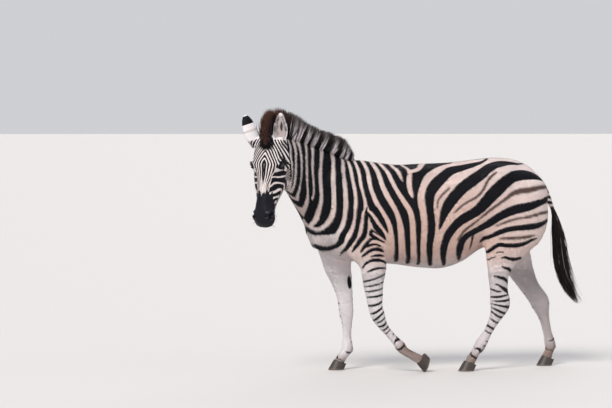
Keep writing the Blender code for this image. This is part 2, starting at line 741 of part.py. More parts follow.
def add_eyes_and_ears(pieces):
    """Eyeballs in open sockets, nostrils, and the ears, each with its foot let into the flesh."""
    for side, eye in ((1, "eye_left"), (-1, "eye_right")):
        place = on_head(side * EYE_PLACE[0], *EYE_PLACE[1:])
        pieces[eye] = ball(eye, place, (EYE_RADIUS,) * 3, fineness=12)
        socket = ball("cutter", place, (EYE_RADIUS + 2 * GAP,) * 3, fineness=12)
        pieces["head"] = boolean(pieces["head"], socket, "DIFFERENCE", "head")
        nostril = head_ball("cutter", side * 0.050, 0.494, -0.056, (0.012, 0.022, 0.016), 12)
        pieces["head"] = boolean(pieces["head"], nostril, "DIFFERENCE", "head")
    for side, ear in ((1, "ear_left"), (-1, "ear_right")):
        pieces[ear] = ear_mesh(ear, side)
        for flank in ("head", "neck"):
            cut = boolean(pieces[flank], swollen(pieces[ear], GAP), "DIFFERENCE", flank)
            pieces[flank] = largest(cut)


def add_hooves(pieces):
    """Horn below each coronet, with flat soles, or a flat toe, on the floor."""
    for name, (toe_x, y, pitch, toe_z) in HOOVES.items():
        lower = name.replace("fore_", "foreleg_").replace("hind_", "hindleg_") + "_lower"
        cutter = coronet_cutter(toe_x, y, pitch, toe_z)
        pieces[lower] = boolean(pieces[lower], cutter, "DIFFERENCE", lower)
        hoof = "hoof_" + name
        pieces[hoof] = hoof_mesh(hoof, toe_x, y, pitch, toe_z)
        if toe_z < 0:
            floor = block((toe_x - 0.2, y - 0.1, -0.2), (toe_x + 0.2, y + 0.1, 0.0))
            pieces[hoof] = boolean(pieces[hoof], floor, "DIFFERENCE", hoof)


def add_hair(pieces, around):
    """The mane along the crest and the long hair of the tail."""
    mane = boolean(mane_mesh(), around, "DIFFERENCE", "mane")
    for ear in ("ear_left", "ear_right"):
        mane = boolean(mane, swollen(pieces[ear], GAP), "DIFFERENCE", "mane")
    pieces["mane"] = largest(mane)
    below = block((0.7, -0.1, 0.8), (1.0, 0.1, TUFT_TOP))
    pieces["tail"] = boolean(pieces["tail"], below, "DIFFERENCE", "tail")
    rows = [(x, 0.0, z, deep, wide) for x, z, deep, wide in TUFT]
    above = block((0.7, -0.1, TUFT_TOP - GAP), (1.0, 0.1, 1.1))
    pieces["tail_tuft"] = boolean(tube("tuft", rows, step=0.055, sides=12), above, "DIFFERENCE", "tail_tuft")


FINISHES = {
    "coat": ((0.52, 0.46, 0.44), 0.70),
    "mane_hair": ((0.05, 0.04, 0.04), 0.75),
    "hoof_horn": ((0.07, 0.06, 0.06), 0.45),
    "eye": ((0.02, 0.012, 0.01), 0.08),
}


def finish_of(name):
    """Which finish a piece has."""
    if name.startswith("hoof"):
        return "hoof_horn"
    if name.startswith("eye"):
        return "eye"
    return "mane_hair" if name in ("mane", "tail_tuft") else "coat"


def main():
    for thing in list(bpy.data.objects):
        bpy.data.objects.remove(thing)
    body = flesh()
    around = swollen(body, 2 * GAP)
    pieces = parted(body)
    add_eyes_and_ears(pieces)
    add_hooves(pieces)
    add_hair(pieces, around)

    points = np.array([v.co for piece in pieces.values() for v in piece.data.vertices])
    middle = (points.min(axis=0) + points.max(axis=0)) / 2
    stand = bpy.data.objects.new("zebra", None)
    stand.location = (-middle[0], -middle[1], 0.0)
    bpy.context.scene.collection.objects.link(stand)
    for name, piece in pieces.items():
        piece.name = name
        piece.data.materials.clear()
        colour, roughness = FINISHES[finish_of(name)]
        piece.data.materials.append(material(name, colour, roughness))
        piece.data.shade_smooth()
        piece.data.set_sharp_from_angle(angle=radians(40.0))
        piece.parent = stand


main()
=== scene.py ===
"""The looks of a plains zebra at life size: one skin with its coat, the mane, the tail, eyes and hooves."""

from math import cos, pi, radians, sin

import bmesh
import bpy
import numpy as np
from mathutils import Matrix, Vector
from mathutils.bvhtree import BVHTree
from mathutils.kdtree import KDTree


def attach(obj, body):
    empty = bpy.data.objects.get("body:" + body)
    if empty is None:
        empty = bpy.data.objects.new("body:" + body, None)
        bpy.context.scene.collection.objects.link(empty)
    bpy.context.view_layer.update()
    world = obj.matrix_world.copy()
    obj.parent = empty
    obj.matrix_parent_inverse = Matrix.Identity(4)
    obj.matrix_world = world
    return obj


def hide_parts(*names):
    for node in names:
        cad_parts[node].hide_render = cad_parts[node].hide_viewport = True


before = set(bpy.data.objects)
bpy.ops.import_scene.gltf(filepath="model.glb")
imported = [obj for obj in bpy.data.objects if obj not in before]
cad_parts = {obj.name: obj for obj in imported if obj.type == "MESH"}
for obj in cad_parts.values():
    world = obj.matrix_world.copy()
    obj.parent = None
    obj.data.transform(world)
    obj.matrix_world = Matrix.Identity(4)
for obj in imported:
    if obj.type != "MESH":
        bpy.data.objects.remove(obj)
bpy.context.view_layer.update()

# ---------------------------------------------------------------------------------------------------------
# The studio. A matt pale floor and an even surround, lit by broad soft lamps: one high ahead on the left, a
# weak one at the left rear, one overhead that gives black hair its cool gleam, and one from behind. The
# camera stands 16 m away and 1.5 m up, a little ahead of the animal's left side.
# ---------------------------------------------------------------------------------------------------------


def tint(hex_code):
    """Linear red, green, blue and alpha of an sRGB hex colour."""
    parts = [int(hex_code[k:k + 2], 16) / 255 for k in (1, 3, 5)]
    return tuple(c / 12.92 if c <= 0.04045 else ((c + 0.055) / 1.055) ** 2.4 for c in parts) + (1.0,)


def node(tree, kind, links=(), **settings):
    """A new node of a tree. links gives its inputs: a value, or the socket that drives each."""
    made = tree.nodes.new("ShaderNode" + kind)
    for name, value in settings.items():
        setattr(made, name, value)
    for name, value in dict(links).items():
        if isinstance(value, bpy.types.NodeSocket):
            tree.links.new(value, made.inputs[name])
        else:
            made.inputs[name].default_value = value
    return made


def painted(name, **fixed):
    """A new material, its node tree and its Principled shader with fixed settings."""
    made = bpy.data.materials.new(name)
    made.use_nodes = True
    shader = made.node_tree.nodes["Principled BSDF"]
    for socket, value in fixed.items():
        shader.inputs[socket.replace("_", " ")].default_value = value
    return made, made.node_tree, shader


ANIMAL_TO_FRAME = Vector((0.107, 0.043, 0.0))  # from the neck and trunk's own middle plane to the frame
CAMERA_AWAY = 16.0
CAMERA_AZIMUTH = radians(-15.0)
CAMERA_HEIGHT = 1.50
CAMERA_LENS = 150.6  # mm, on a sensor 36 mm wide
CAMERA_DIP = radians(1.66)
CAMERA_TURN = radians(-12.29)

camera_data = bpy.data.cameras.new("studio_camera")
camera_data.lens = CAMERA_LENS
camera_data.sensor_width = 36.0
camera = bpy.data.objects.new("studio_camera", camera_data)
bpy.context.scene.collection.objects.link(camera)
stand_point = Vector((sin(CAMERA_AZIMUTH), -cos(CAMERA_AZIMUTH), 0.0)) * CAMERA_AWAY
camera.location = stand_point + ANIMAL_TO_FRAME + Vector((0.0, 0.0, CAMERA_HEIGHT))
camera.rotation_euler = (pi / 2 - CAMERA_DIP, 0.0, CAMERA_TURN)
bpy.context.scene.camera = camera

FLOOR_SPAN = 900.0
FLOOR_DROP = 0.001  # under the hooves, so that their soles don't lie in it
floor_mesh = bpy.data.meshes.new("studio_floor")
square = ((-1, -1), (1, -1), (1, 1), (-1, 1))
floor_corners = [(sx * FLOOR_SPAN, sy * FLOOR_SPAN, -FLOOR_DROP) for sx, sy in square]
floor_mesh.from_pydata(floor_corners, [], [(0, 1, 2, 3)])
studio_floor = bpy.data.objects.new("studio_floor", floor_mesh)
bpy.context.scene.collection.objects.link(studio_floor)
floor_paint, _, floor_shader = painted("matt_pale_floor_paint", Roughness=0.85)
floor_shader.inputs["Base Color"].default_value = tint("#c6c4c2")
floor_mesh.materials.append(floor_paint)

surround = bpy.data.worlds.new("studio_surround")
surround.use_nodes = True
soft_light = surround.node_tree.nodes["Background"]
soft_light.inputs["Color"].default_value = tint("#e4e5e9")
soft_light.inputs["Strength"].default_value = 0.80
bpy.context.scene.world = surround
bpy.context.scene.view_settings.view_transform = "Standard"


def lamp(name, place, spread, strength, colour):
    """A broad soft lamp, far off in the direction of place, that shines on the animal."""
    data = bpy.data.lights.new(name, "SUN")
    data.energy = strength
    data.angle = radians(spread)
    data.color = tint(colour)[:3]
    made = bpy.data.objects.new(name, data)
    made.rotation_euler = (-Vector(place)).to_track_quat("-Z", "Y").to_euler()
    bpy.context.scene.collection.objects.link(made)


lamp("key_lamp", (-3.4, -4.6, 5.4), 22.0, 2.75, "#fffaf4")
lamp("fill_lamp", (5.0, -4.0, 3.0), 60.0, 0.30, "#eef2ff")
lamp("top_lamp", (0.4, 1.6, 5.0), 50.0, 0.45, "#dfe6ff")
lamp("rim_lamp", (2.5, 5.0, 2.8), 40.0, 0.60, "#fff6ea")

# ---------------------------------------------------------------------------------------------------------
# The body under its coat: skin over muscle and bone, one closed surface with no seams. Barrel, neck, head,
# legs and the dock of the tail grow into each other. It is lofted from sections, fused, smoothed, and then
# worked finer over the head and the lower legs.
# ---------------------------------------------------------------------------------------------------------

SKIN_GRAIN = 0.0113  # grain at which the forms are fused
COAT_DEPTH = 0.004  # how far the skin lies under the tips of the coat
LEFT = -0.130  # how far each pair of legs stands from the middle plane
RIGHT = 0.125
POLL = np.array((-1.055, -0.210, 1.468))  # top of the skull, between the ears
HEAD_TURN = radians(-34.0)  # towards the camera
HEAD_DROP = radians(72.5)  # how steeply the face slopes down
SECTION_STEP = 0.012  # between the rings that the forms are lofted through

# x, top, bottom, height of the widest place, half width, roundness above and below
BARREL = (
    (-0.786, 1.000, 0.910, 0.955, 0.030, 2.0, 2.0),
    (-0.762, 1.100, 0.835, 0.960, 0.082, 2.0, 2.0),
    (-0.700, 1.205, 0.764, 0.965, 0.128, 2.0, 2.0),
    (-0.600, 1.286, 0.708, 0.970, 0.164, 1.9, 2.0),
    (-0.460, 1.318, 0.680, 0.960, 0.188, 1.7, 2.1),
    (-0.340, 1.303, 0.672, 0.940, 0.206, 1.8, 2.1),
    (-0.220, 1.288, 0.663, 0.920, 0.223, 1.9, 2.1),
    (-0.050, 1.292, 0.640, 0.910, 0.240, 2.0, 2.1),
    (0.100, 1.297, 0.637, 0.920, 0.243, 2.1, 2.1),
    (0.220, 1.306, 0.676, 0.950, 0.235, 2.1, 2.0),
    (0.330, 1.320, 0.748, 1.000, 0.221, 2.1, 2.0),
    (0.470, 1.328, 0.790, 1.030, 0.212, 2.0, 2.0),
    (0.600, 1.303, 0.815, 1.040, 0.186, 1.9, 2.0),
    (0.700, 1.236, 0.860, 1.040, 0.138, 1.9, 2.0),
    (0.746, 1.160, 0.930, 1.040, 0.085, 2.0, 2.0),
    (0.766, 1.100, 0.990, 1.040, 0.040, 2.0, 2.0),
)
# crest x, y, z, then underside x, y, z, then half width
NECK = (
    (-0.440, 0.000, 1.290, -0.660, 0.000, 0.800, 0.155),
    (-0.550, 0.000, 1.335, -0.765, -0.005, 0.890, 0.145),
    (-0.660, -0.035, 1.380, -0.820, -0.025, 0.985, 0.122),
    (-0.760, -0.085, 1.415, -0.868, -0.065, 1.055, 0.104),
    (-0.860, -0.130, 1.446, -0.912, -0.110, 1.115, 0.091),
    (-0.950, -0.170, 1.466, -0.950, -0.155, 1.170, 0.083),
    (-1.020, -0.198, 1.470, -0.985, -0.195, 1.210, 0.076),
)
# distance down the face, top, bottom, half width of brow, cheek and jaw
HEAD = (
    (-0.040, -0.045, -0.100, 0.028, 0.034, 0.028),
    (-0.015, -0.014, -0.160, 0.052, 0.068, 0.048),
    (0.040, 0.006, -0.212, 0.074, 0.098, 0.058),
    (0.100, 0.014, -0.246, 0.090, 0.112, 0.058),
    (0.150, 0.014, -0.258, 0.090, 0.112, 0.056),
    (0.200, 0.008, -0.258, 0.074, 0.108, 0.056),
    (0.250, 0.001, -0.250, 0.062, 0.100, 0.055),
    (0.300, -0.006, -0.234, 0.053, 0.088, 0.050),
    (0.350, -0.012, -0.208, 0.047, 0.072, 0.044),
    (0.400, -0.018, -0.181, 0.045, 0.061, 0.040),
    (0.440, -0.024, -0.167, 0.048, 0.061, 0.040),
    (0.480, -0.032, -0.161, 0.053, 0.067, 0.043),
    (0.512, -0.046, -0.155, 0.051, 0.067, 0.044),
    (0.536, -0.062, -0.144, 0.041, 0.055, 0.038),
    (0.552, -0.085, -0.124, 0.018, 0.026, 0.018),
)
# to the side, down the face, out of the brow, half lengths
HEAD_FORMS = (
    (0.076, 0.176, -0.036, (0.032, 0.040, 0.036)),  # eye socket
    (0.076, 0.030, -0.048, (0.036, 0.036, 0.042)),  # root of the ear
    (0.046, 0.486, -0.064, (0.024, 0.030, 0.026)),  # nostril
    (0.056, 0.185, -0.170, (0.050, 0.110, 0.078)),  # cheek muscle
    (0.012, 0.518, -0.140, (0.026, 0.024, 0.020)),  # chin
)
# x, y, z, half depth fore and aft, half width
FORELEG_LEFT = (
    (-0.520, -0.120, 0.900, 0.100, 0.060),
    (-0.455, LEFT, 0.800, 0.115, 0.064),
    (-0.395, LEFT - 0.006, 0.720, 0.102, 0.062),
    (-0.378, LEFT - 0.004, 0.650, 0.087, 0.056),
    (-0.378, LEFT, 0.560, 0.071, 0.047),
    (-0.370, LEFT, 0.470, 0.056, 0.039),
    (-0.362, LEFT, 0.400, 0.047, 0.036),
    (-0.346, LEFT, 0.350, 0.046, 0.038),
    (-0.326, LEFT, 0.308, 0.036, 0.032),
    (-0.302, LEFT, 0.272, 0.029, 0.025),
    (-0.268, LEFT, 0.232, 0.027, 0.022),
    (-0.235, LEFT, 0.196, 0.029, 0.024),
    (-0.204, LEFT, 0.160, 0.036, 0.031),
    (-0.180, LEFT, 0.132, 0.030, 0.028),
    (-0.140, LEFT, 0.108, 0.027, 0.027),
    (-0.108, LEFT, 0.090, 0.031, 0.030),
    (-0.086, LEFT, 0.079, 0.031, 0.030),
    (-0.062, LEFT, 0.067, 0.026, 0.026),
)
FORELEG_RIGHT = (
    (-0.590, 0.110, 0.900, 0.100, 0.060),
    (-0.570, RIGHT, 0.800, 0.115, 0.064),
    (-0.552, RIGHT + 0.004, 0.720, 0.108, 0.062),
    (-0.544, RIGHT + 0.002, 0.650, 0.094, 0.056),
    (-0.520, RIGHT, 0.560, 0.073, 0.047),
    (-0.500, RIGHT, 0.470, 0.056, 0.040),
    (-0.492, RIGHT, 0.400, 0.049, 0.038),
    (-0.489, RIGHT, 0.350, 0.048, 0.039),
    (-0.485, RIGHT, 0.305, 0.038, 0.032),
    (-0.484, RIGHT, 0.260, 0.032, 0.026),
    (-0.484, RIGHT, 0.200, 0.031, 0.025),
    (-0.483, RIGHT, 0.155, 0.037, 0.031),
    (-0.484, RIGHT, 0.128, 0.038, 0.033),
    (-0.500, RIGHT, 0.098, 0.030, 0.029),
    (-0.522, RIGHT, 0.070, 0.033, 0.032),
    (-0.535, RIGHT, 0.050, 0.033, 0.031),
    (-0.546, RIGHT, 0.026, 0.028, 0.027),
)
HINDLEG_LEFT = (
    (0.530, -0.100, 1.120, 0.170, 0.085),
    (0.545, -0.118, 1.020, 0.208, 0.098),
    (0.530, -0.124, 0.920, 0.212, 0.098),
    (0.490, -0.130, 0.830, 0.180, 0.088),
    (0.463, LEFT - 0.004, 0.750, 0.140, 0.074),
    (0.440, LEFT, 0.675, 0.101, 0.061),
    (0.427, LEFT, 0.605, 0.074, 0.050),
    (0.426, LEFT, 0.540, 0.064, 0.043),
    (0.430, LEFT, 0.485, 0.062, 0.038),
    (0.437, LEFT, 0.440, 0.067, 0.037),
    (0.435, LEFT, 0.405, 0.066, 0.038),
    (0.422, LEFT, 0.365, 0.052, 0.037),
    (0.404, LEFT, 0.325, 0.039, 0.032),
    (0.384, LEFT, 0.288, 0.033, 0.027),
    (0.362, LEFT, 0.248, 0.030, 0.025),
    (0.340, LEFT, 0.210, 0.032, 0.026),
    (0.320, LEFT, 0.178, 0.038, 0.031),
    (0.303, LEFT, 0.152, 0.036, 0.031),
    (0.278, LEFT, 0.115, 0.029, 0.028),
    (0.255, LEFT, 0.078, 0.033, 0.031),
    (0.243, LEFT, 0.055, 0.033, 0.030),
    (0.232, LEFT, 0.028, 0.028, 0.027),
)
HINDLEG_RIGHT = (
    (0.545, 0.100, 1.120, 0.170, 0.085),
    (0.570, 0.116, 1.020, 0.190, 0.098),
    (0.575, 0.122, 0.920, 0.185, 0.098),
    (0.578, 0.128, 0.830, 0.155, 0.088),
    (0.590, RIGHT + 0.004, 0.750, 0.126, 0.074),
    (0.625, RIGHT + 0.004, 0.665, 0.104, 0.062),
    (0.664, RIGHT + 0.004, 0.585, 0.083, 0.052),
    (0.703, RIGHT + 0.004, 0.515, 0.068, 0.044),
    (0.742, RIGHT + 0.004, 0.460, 0.063, 0.039),
    (0.770, RIGHT + 0.004, 0.420, 0.065, 0.038),
    (0.784, RIGHT + 0.004, 0.385, 0.062, 0.038),
    (0.796, RIGHT + 0.004, 0.340, 0.046, 0.035),
    (0.808, RIGHT + 0.004, 0.295, 0.036, 0.029),
    (0.820, RIGHT + 0.004, 0.245, 0.032, 0.026),
    (0.832, RIGHT + 0.004, 0.195, 0.032, 0.025),
    (0.843, RIGHT + 0.004, 0.150, 0.037, 0.031),
    (0.847, RIGHT + 0.004, 0.122, 0.036, 0.032),
    (0.840, RIGHT + 0.004, 0.092, 0.030, 0.029),
    (0.829, RIGHT + 0.004, 0.065, 0.033, 0.032),
    (0.823, RIGHT + 0.004, 0.048, 0.033, 0.031),
    (0.816, RIGHT + 0.004, 0.026, 0.028, 0.027),
)
# rows, which side it stands on, and whether it is a hind leg
LEGS = ((FORELEG_LEFT, -1, False), (FORELEG_RIGHT, 1, False),
        (HINDLEG_LEFT, -1, True), (HINDLEG_RIGHT, 1, True))
# x, z, half depth, half width of the dock, down the middle plane
DOCK = (
    (0.690, 1.195, 0.045, 0.045),
    (0.742, 1.150, 0.034, 0.034),
    (0.786, 1.080, 0.025, 0.027),
    (0.816, 1.008, 0.020, 0.022),
    (0.838, 0.940, 0.018, 0.019),
    (0.844, 0.905, 0.012, 0.012),
)
# centre, half lengths, tilt in degrees; mirrored, and moved with the legs on the right
MUSCLES = (
    ((-0.560, 0.108, 1.070), (0.090, 0.070, 0.200), -24.0),  # shoulder blade
    ((-0.470, 0.122, 0.880), (0.120, 0.070, 0.130), 20.0),  # triceps
    ((-0.660, 0.088, 0.890), (0.075, 0.070, 0.105), -15.0),  # point of the shoulder
    ((-0.690, 0.050, 0.840), (0.055, 0.055, 0.085), 10.0),  # breast
    ((0.430, 0.122, 1.180), (0.170, 0.085, 0.110), 8.0),  # top of the haunch
    ((0.590, 0.114, 1.080), (0.165, 0.096, 0.170), 25.0),  # haunch
    ((0.360, 0.126, 0.900), (0.080, 0.080, 0.140), -25.0),  # stifle
    ((-0.060, 0.080, 1.215), (0.300, 0.075, 0.060), 0.0),  # muscle along the back
)


def ramp(values, low, high):
    """0 below low, 1 above high, and a soft rise between."""
    t = np.clip((np.asarray(values, dtype=float) - low) / (high - low), 0.0, 1.0)
    return t * t * (3.0 - 2.0 * t)


def head_directions():
    """To the animal's left, down its face, and out of its brow."""
    ahead = np.array((sin(HEAD_TURN), -cos(HEAD_TURN), 0.0))
    up = np.array((0.0, 0.0, 1.0))
    down = ahead * cos(HEAD_DROP) - up * sin(HEAD_DROP)
    return np.array((np.cross(up, ahead), down, ahead * sin(HEAD_DROP) + up * cos(HEAD_DROP)))


HEAD_FRAME = head_directions()


def on_head(side, down, out):
    """A place on the head, in the animal's own metres."""
    return POLL + np.array((side, down, out)) @ HEAD_FRAME


def smooth_rows(rows, step, measure=3):
    """The rows read off one smooth curve, about step apart along their first numbers."""
    table = np.array(rows, dtype=float)
    gaps = np.linalg.norm(np.diff(table[:, :measure], axis=0), axis=1)
    at = np.concatenate(([0.0], np.cumsum(gaps)))
    slopes = np.gradient(table, at, axis=0)
    wanted = np.linspace(0.0, at[-1], max(3, round(at[-1] / step) + 1))
    left = np.clip(np.searchsorted(at, wanted, side="right") - 1, 0, len(at) - 2)
    span = (at[left + 1] - at[left])[:, None]
    t = (wanted - at[left])[:, None] / span
    rise = 3 * t**2 - 2 * t**3
    ends = table[left] * (1 - rise) + table[left + 1] * rise
    return ends + (slopes[left] * (t**3 - 2 * t**2 + t) + slopes[left + 1] * (t**3 - t**2)) * span


def unit(vectors):
    """The vectors at length one, along their last axis."""
    return vectors / np.maximum(np.linalg.norm(vectors, axis=-1, keepdims=True), 1e-12)


def new_object(name, mesh):
    """An object that holds the mesh, in the scene."""
    made = bpy.data.objects.new(name, mesh)
    bpy.context.scene.collection.objects.link(made)
    return made


def solid_from(name, bm):
    """An object from a bmesh, all its faces turned out."""
    bmesh.ops.recalc_face_normals(bm, faces=bm.faces)
    mesh = bpy.data.meshes.new(name)
    bm.to_mesh(mesh)
    bm.free()
    return new_object(name, mesh)


def loft(name, rings):
    """A closed body through rings of equal count."""
    bm = bmesh.new()
    rows = [[bm.verts.new(point) for point in ring] for ring in rings]
    count = len(rows[0])
    for low, high in zip(rows, rows[1:]):
        for k in range(count):
            bm.faces.new((low[k], low[(k + 1) % count], high[(k + 1) % count], high[k]))
    bm.faces.new(rows[0])
    bm.faces.new(rows[-1])
    bmesh.ops.triangulate(bm, faces=bm.faces)
    return solid_from(name, bm)


def limb(rows, sides=32):
    """An oval tube along rows of x, y, z, half depth and half width."""
    table = smooth_rows(rows, SECTION_STEP)
    middles = table[:, :3]
    along = unit(np.gradient(middles, axis=0))
    across = unit(np.array((0.0, 1.0, 0.0)) - along * along[:, 1:2])
    fore = np.cross(along, across)
    turns = np.arange(sides) * 2 * pi / sides
    rings = middles[:, None] + fore[:, None] * (table[:, 3, None] * np.cos(turns))[..., None]
    rings = rings + across[:, None] * (table[:, 4, None] * np.sin(turns))[..., None]
    return loft("limb", rings)


def barrel_form():
    """The trunk from chest to buttocks, as superellipses."""
    turns = np.arange(64) * 2 * pi / 64
    c, s = np.cos(turns), np.sin(turns)
    rings = []
    for x, top, bottom, middle, wide, above, below in smooth_rows(BARREL, SECTION_STEP, 1):
        power = np.where(s > 0, 2 / above, 2 / below)
        rise = np.where(s > 0, top - middle, middle - bottom)
        z = middle + rise * np.sign(s) * np.abs(s) ** power
        y = wide * np.sign(c) * np.abs(c) ** power
        rings.append(np.stack((np.full(64, x), y, z), axis=1))
    return loft("barrel", rings)


def neck_form():
    """The neck, egg-shaped in section and thinner towards its crest."""
    table = smooth_rows(NECK, SECTION_STEP, 6)
    crests, unders = table[:, :3], table[:, 3:6]
    ahead = np.gradient((crests + unders) / 2, axis=0)
    turns = np.arange(48) * 2 * pi / 48
    rings = []
    for crest, under, along, wide in zip(crests, unders, ahead, table[:, 6]):
        rise = (crest - under) / 2
        side = unit(np.cross(rise, along))
        c = np.cos(turns)
        thin = 1.0 - 0.26 * c - 0.10 * c * c
        aside = side * (wide * thin * np.sin(turns))[:, None]
        rings.append((crest + under) / 2 + rise * c[:, None] + aside)
    return loft("neck", rings)


def closed_curve(points, count):
    """Even places on a smooth closed curve through the points."""
    fixed = np.array(points, dtype=float)
    turns = np.arange(count) * len(fixed) / count
    left = turns.astype(int)
    t = (turns - left)[:, None]
    before, here, there, after = (fixed[(left + k) % len(fixed)] for k in (-1, 0, 1, 2))
    bend = (there - before) * t + (2 * before - 5 * here + 4 * there - after) * t**2
    return here + 0.5 * (bend + (3 * here - before - 3 * there + after) * t**3)


def head_form():
    """The skull and jaw, through brow, cheek and jaw widths."""
    rings = []
    for down, top, bottom, brow, cheek, jaw in smooth_rows(HEAD, 0.008, 1):
        deep = top - bottom
        half = ((0.0, top), (brow * 0.62, top - 0.025 * deep), (brow, top - 0.14 * deep),
                (cheek, top - 0.42 * deep), (cheek * 0.86, top - 0.66 * deep),
                (jaw, top - 0.90 * deep), (jaw * 0.45, bottom))
        outline = closed_curve(half + tuple((-side, out) for side, out in reversed(half[1:])), 56)
        rings.append([on_head(side, down, out) for side, out in outline])
    return loft("head", rings)


def swelling(middle, halves, frame_rows):
    """An ellipsoid along three directions."""
    bm = bmesh.new()
    bmesh.ops.create_uvsphere(bm, u_segments=32, v_segments=16, radius=1.0)
    for v in bm.verts:
        v.co = middle + (np.array(v.co) * halves) @ frame_rows
    return solid_from("swelling", bm)


def body_forms():
    """All the forms of the body, each a closed solid."""
    forms = [barrel_form(), neck_form(), head_form()]
    forms += [limb(rows) for rows, _, _ in LEGS]
    forms.append(limb([(x, 0.0, z, deep, wide) for x, z, deep, wide in DOCK]))
    for (x, y, z), halves, tilt in MUSCLES:
        turn = np.array(Matrix.Rotation(radians(tilt), 3, "Y")).T
        hind = 0.06 if x > 0.2 and z <= 1.0 else 0.0
        fore = -0.03 if x < 0.2 and 0.85 < z <= 1.0 else 0.0
        forms.append(swelling(np.array((x, -y, z)), halves, turn))
        forms.append(swelling(np.array((x + hind + fore, y, z)), halves, turn))
    for side, down, out, halves in HEAD_FORMS:
        forms.append(swelling(on_head(side, down, out), halves, HEAD_FRAME))
        forms.append(swelling(on_head(-side, down, out), halves, HEAD_FRAME))
    return forms


def worked_in(thing, name):
    """A new object with the modifiers of thing worked in; thing is removed."""
    bpy.context.view_layer.update()
    mesh = bpy.data.meshes.new_from_object(thing.evaluated_get(bpy.context.evaluated_depsgraph_get()))
    bpy.data.objects.remove(thing)
    return new_object(name, mesh)


def places_of(mesh):
    """The vertex places of a mesh as rows of numbers."""
    flat = np.empty(len(mesh.vertices) * 3)
    mesh.vertices.foreach_get("co", flat)
    return flat.reshape(-1, 3)


def eased(thing, weights, rounds):
    """The thing smoothed, each vertex as freely as its weight says."""
    soft = thing.vertex_groups.new(name="soft")
    levels = np.round(weights * 20).astype(int)
    for level in range(1, 21):
        soft.add([int(k) for k in np.flatnonzero(levels == level)], level / 20, "REPLACE")
    ease = thing.modifiers.new("ease", "SMOOTH")
    ease.vertex_group = "soft"
    ease.factor = 0.5
    ease.iterations = rounds
    return worked_in(thing, thing.name)


def head_share(points):
    """1 on the head, 0 behind the jaw."""
    before = -(points - (-0.935, -0.150, 1.300)) @ np.array((0.99, 0.10, 0.10))
    return ramp(before, -0.015, 0.015) * (points[:, 2] > 0.85)


def fused_body():
    """The forms fused into one closed skin and smoothed, still at the tips of the coat."""
    bm = bmesh.new()
    for form in body_forms():
        bm.from_mesh(form.data)
        bpy.data.objects.remove(form)
    body = solid_from("zebra_skin", bm)
    fuse = body.modifiers.new("fuse", "REMESH")
    fuse.mode = "VOXEL"
    fuse.voxel_size = SKIN_GRAIN
    body = worked_in(body, "zebra_skin")
    points = places_of(body.data)
    low = 0.10 + 0.90 * ramp(points[:, 2], 0.38, 0.68)
    return eased(body, np.where(head_share(points) > 0.5, 0.22, low), 12)


EYE_RADIUS = 0.0215
EYE_PLACE = (0.0865, 0.178, -0.044)  # to the side, down the face and out of the brow
GAZE = unit(np.array((0.86, -0.06, 0.36)))
LID_CORNERS = unit(np.array((-0.13, 0.84, 0.50)))  # from the ear's corner of the eye to the nose's
LID_WAY = unit(LID_CORNERS - GAZE * (LID_CORNERS @ GAZE))  # the same, square to the gaze
LID_RISE = np.cross(GAZE, LID_WAY)  # towards the upper lid
EAR_LENGTH = 0.205
EAR_WIDTH = 0.094
EAR_SUNK = 0.030
# side, and then in the animal's frame: the foot, the way up, and the way the cup opens
EARS = {
    "left": (on_head(0.072, 0.036, -0.026), (0.03, 0.02, 1.0), (-0.42, -0.90, 0.0)),
    "right": (on_head(-0.106, 0.034, -0.040), (-0.31, 0.05, 0.94), (-0.10, 0.99, 0.0)),
}
# the mouth from its corner to its front: down the face, out of the brow
MOUTH = ((0.452, -0.118), (0.475, -0.124), (0.500, -0.122), (0.525, -0.117), (0.548, -0.112))


def from_head(points):
    """Side, down and out of each place, measured on the head."""
    return (points - POLL) @ HEAD_FRAME.T


def from_eye(local):
    """Places on the head, measured from the middle of the eye on their own side."""
    return np.abs(local) * (1, 0, 0) + local * (0, 1, 1) - EYE_PLACE


def finer(bm, chosen):
    """The chosen faces of a bmesh cut in four."""
    edges = {edge for face in bm.faces if chosen[face.index] for edge in face.edges}
    bmesh.ops.subdivide_edges(bm, edges=list(edges), cuts=1, use_grid_fill=True, smooth=0.0)
    bm.faces.ensure_lookup_table()
    bm.faces.index_update()


def face_middles(bm):
    """The middle of every face."""
    return np.array([face.calc_center_median() for face in bm.faces])


def worked_finer(thing):
    """The skin with smaller faces on the lower legs and the head, smallest about the eyes, nose and brow."""
    bm = bmesh.new()
    bm.from_mesh(thing.data)
    bm.faces.ensure_lookup_table()
    middles = face_middles(bm)
    finer(bm, (head_share(middles) > 0.5) | (middles[:, 2] < 0.44))
    middles = face_middles(bm)
    side, down, out = from_head(middles).T
    eye = np.linalg.norm(from_eye(from_head(middles)), axis=1)
    front = (down > 0.0) & (down < 0.42) & (out > -0.075) & (np.abs(side) < 0.085)
    nose = (down > 0.43) & (out > -0.16)
    finer(bm, (head_share(middles) > 0.5) & ((eye < 0.060) | front | nose))
    bmesh.ops.triangulate(bm, faces=[face for face in bm.faces if len(face.verts) > 4])
    bm.to_mesh(thing.data)
    bm.free()
    weights = 0.8 * head_share(places_of(thing.data))
    return eased(thing, weights + 0.5 * (places_of(thing.data)[:, 2] < 0.44), 2)


def bump_at(distance, width):
    """A round rise, 1 at distance 0 and gone at width."""
    return np.clip(1.0 - (distance / width) ** 2, 0.0, None) ** 2


def path_gap(points, path):
    """Distance of flat points from a path of flat points, and how far along it they lie, 0 to 1."""
    best = np.full(len(points), 9.0)
    share = np.zeros(len(points))
    for k, (a, b) in enumerate(zip(path, path[1:])):
        a, b = np.array(a), np.array(b)
        t = np.clip((points - a) @ (b - a) / ((b - a) @ (b - a)), 0.0, 1.0)
        gap = np.linalg.norm(points - a - t[:, None] * (b - a), axis=1)
        share = np.where(gap < best, (k + t) / (len(path) - 1), share)
        best = np.minimum(gap, best)
    return best, share


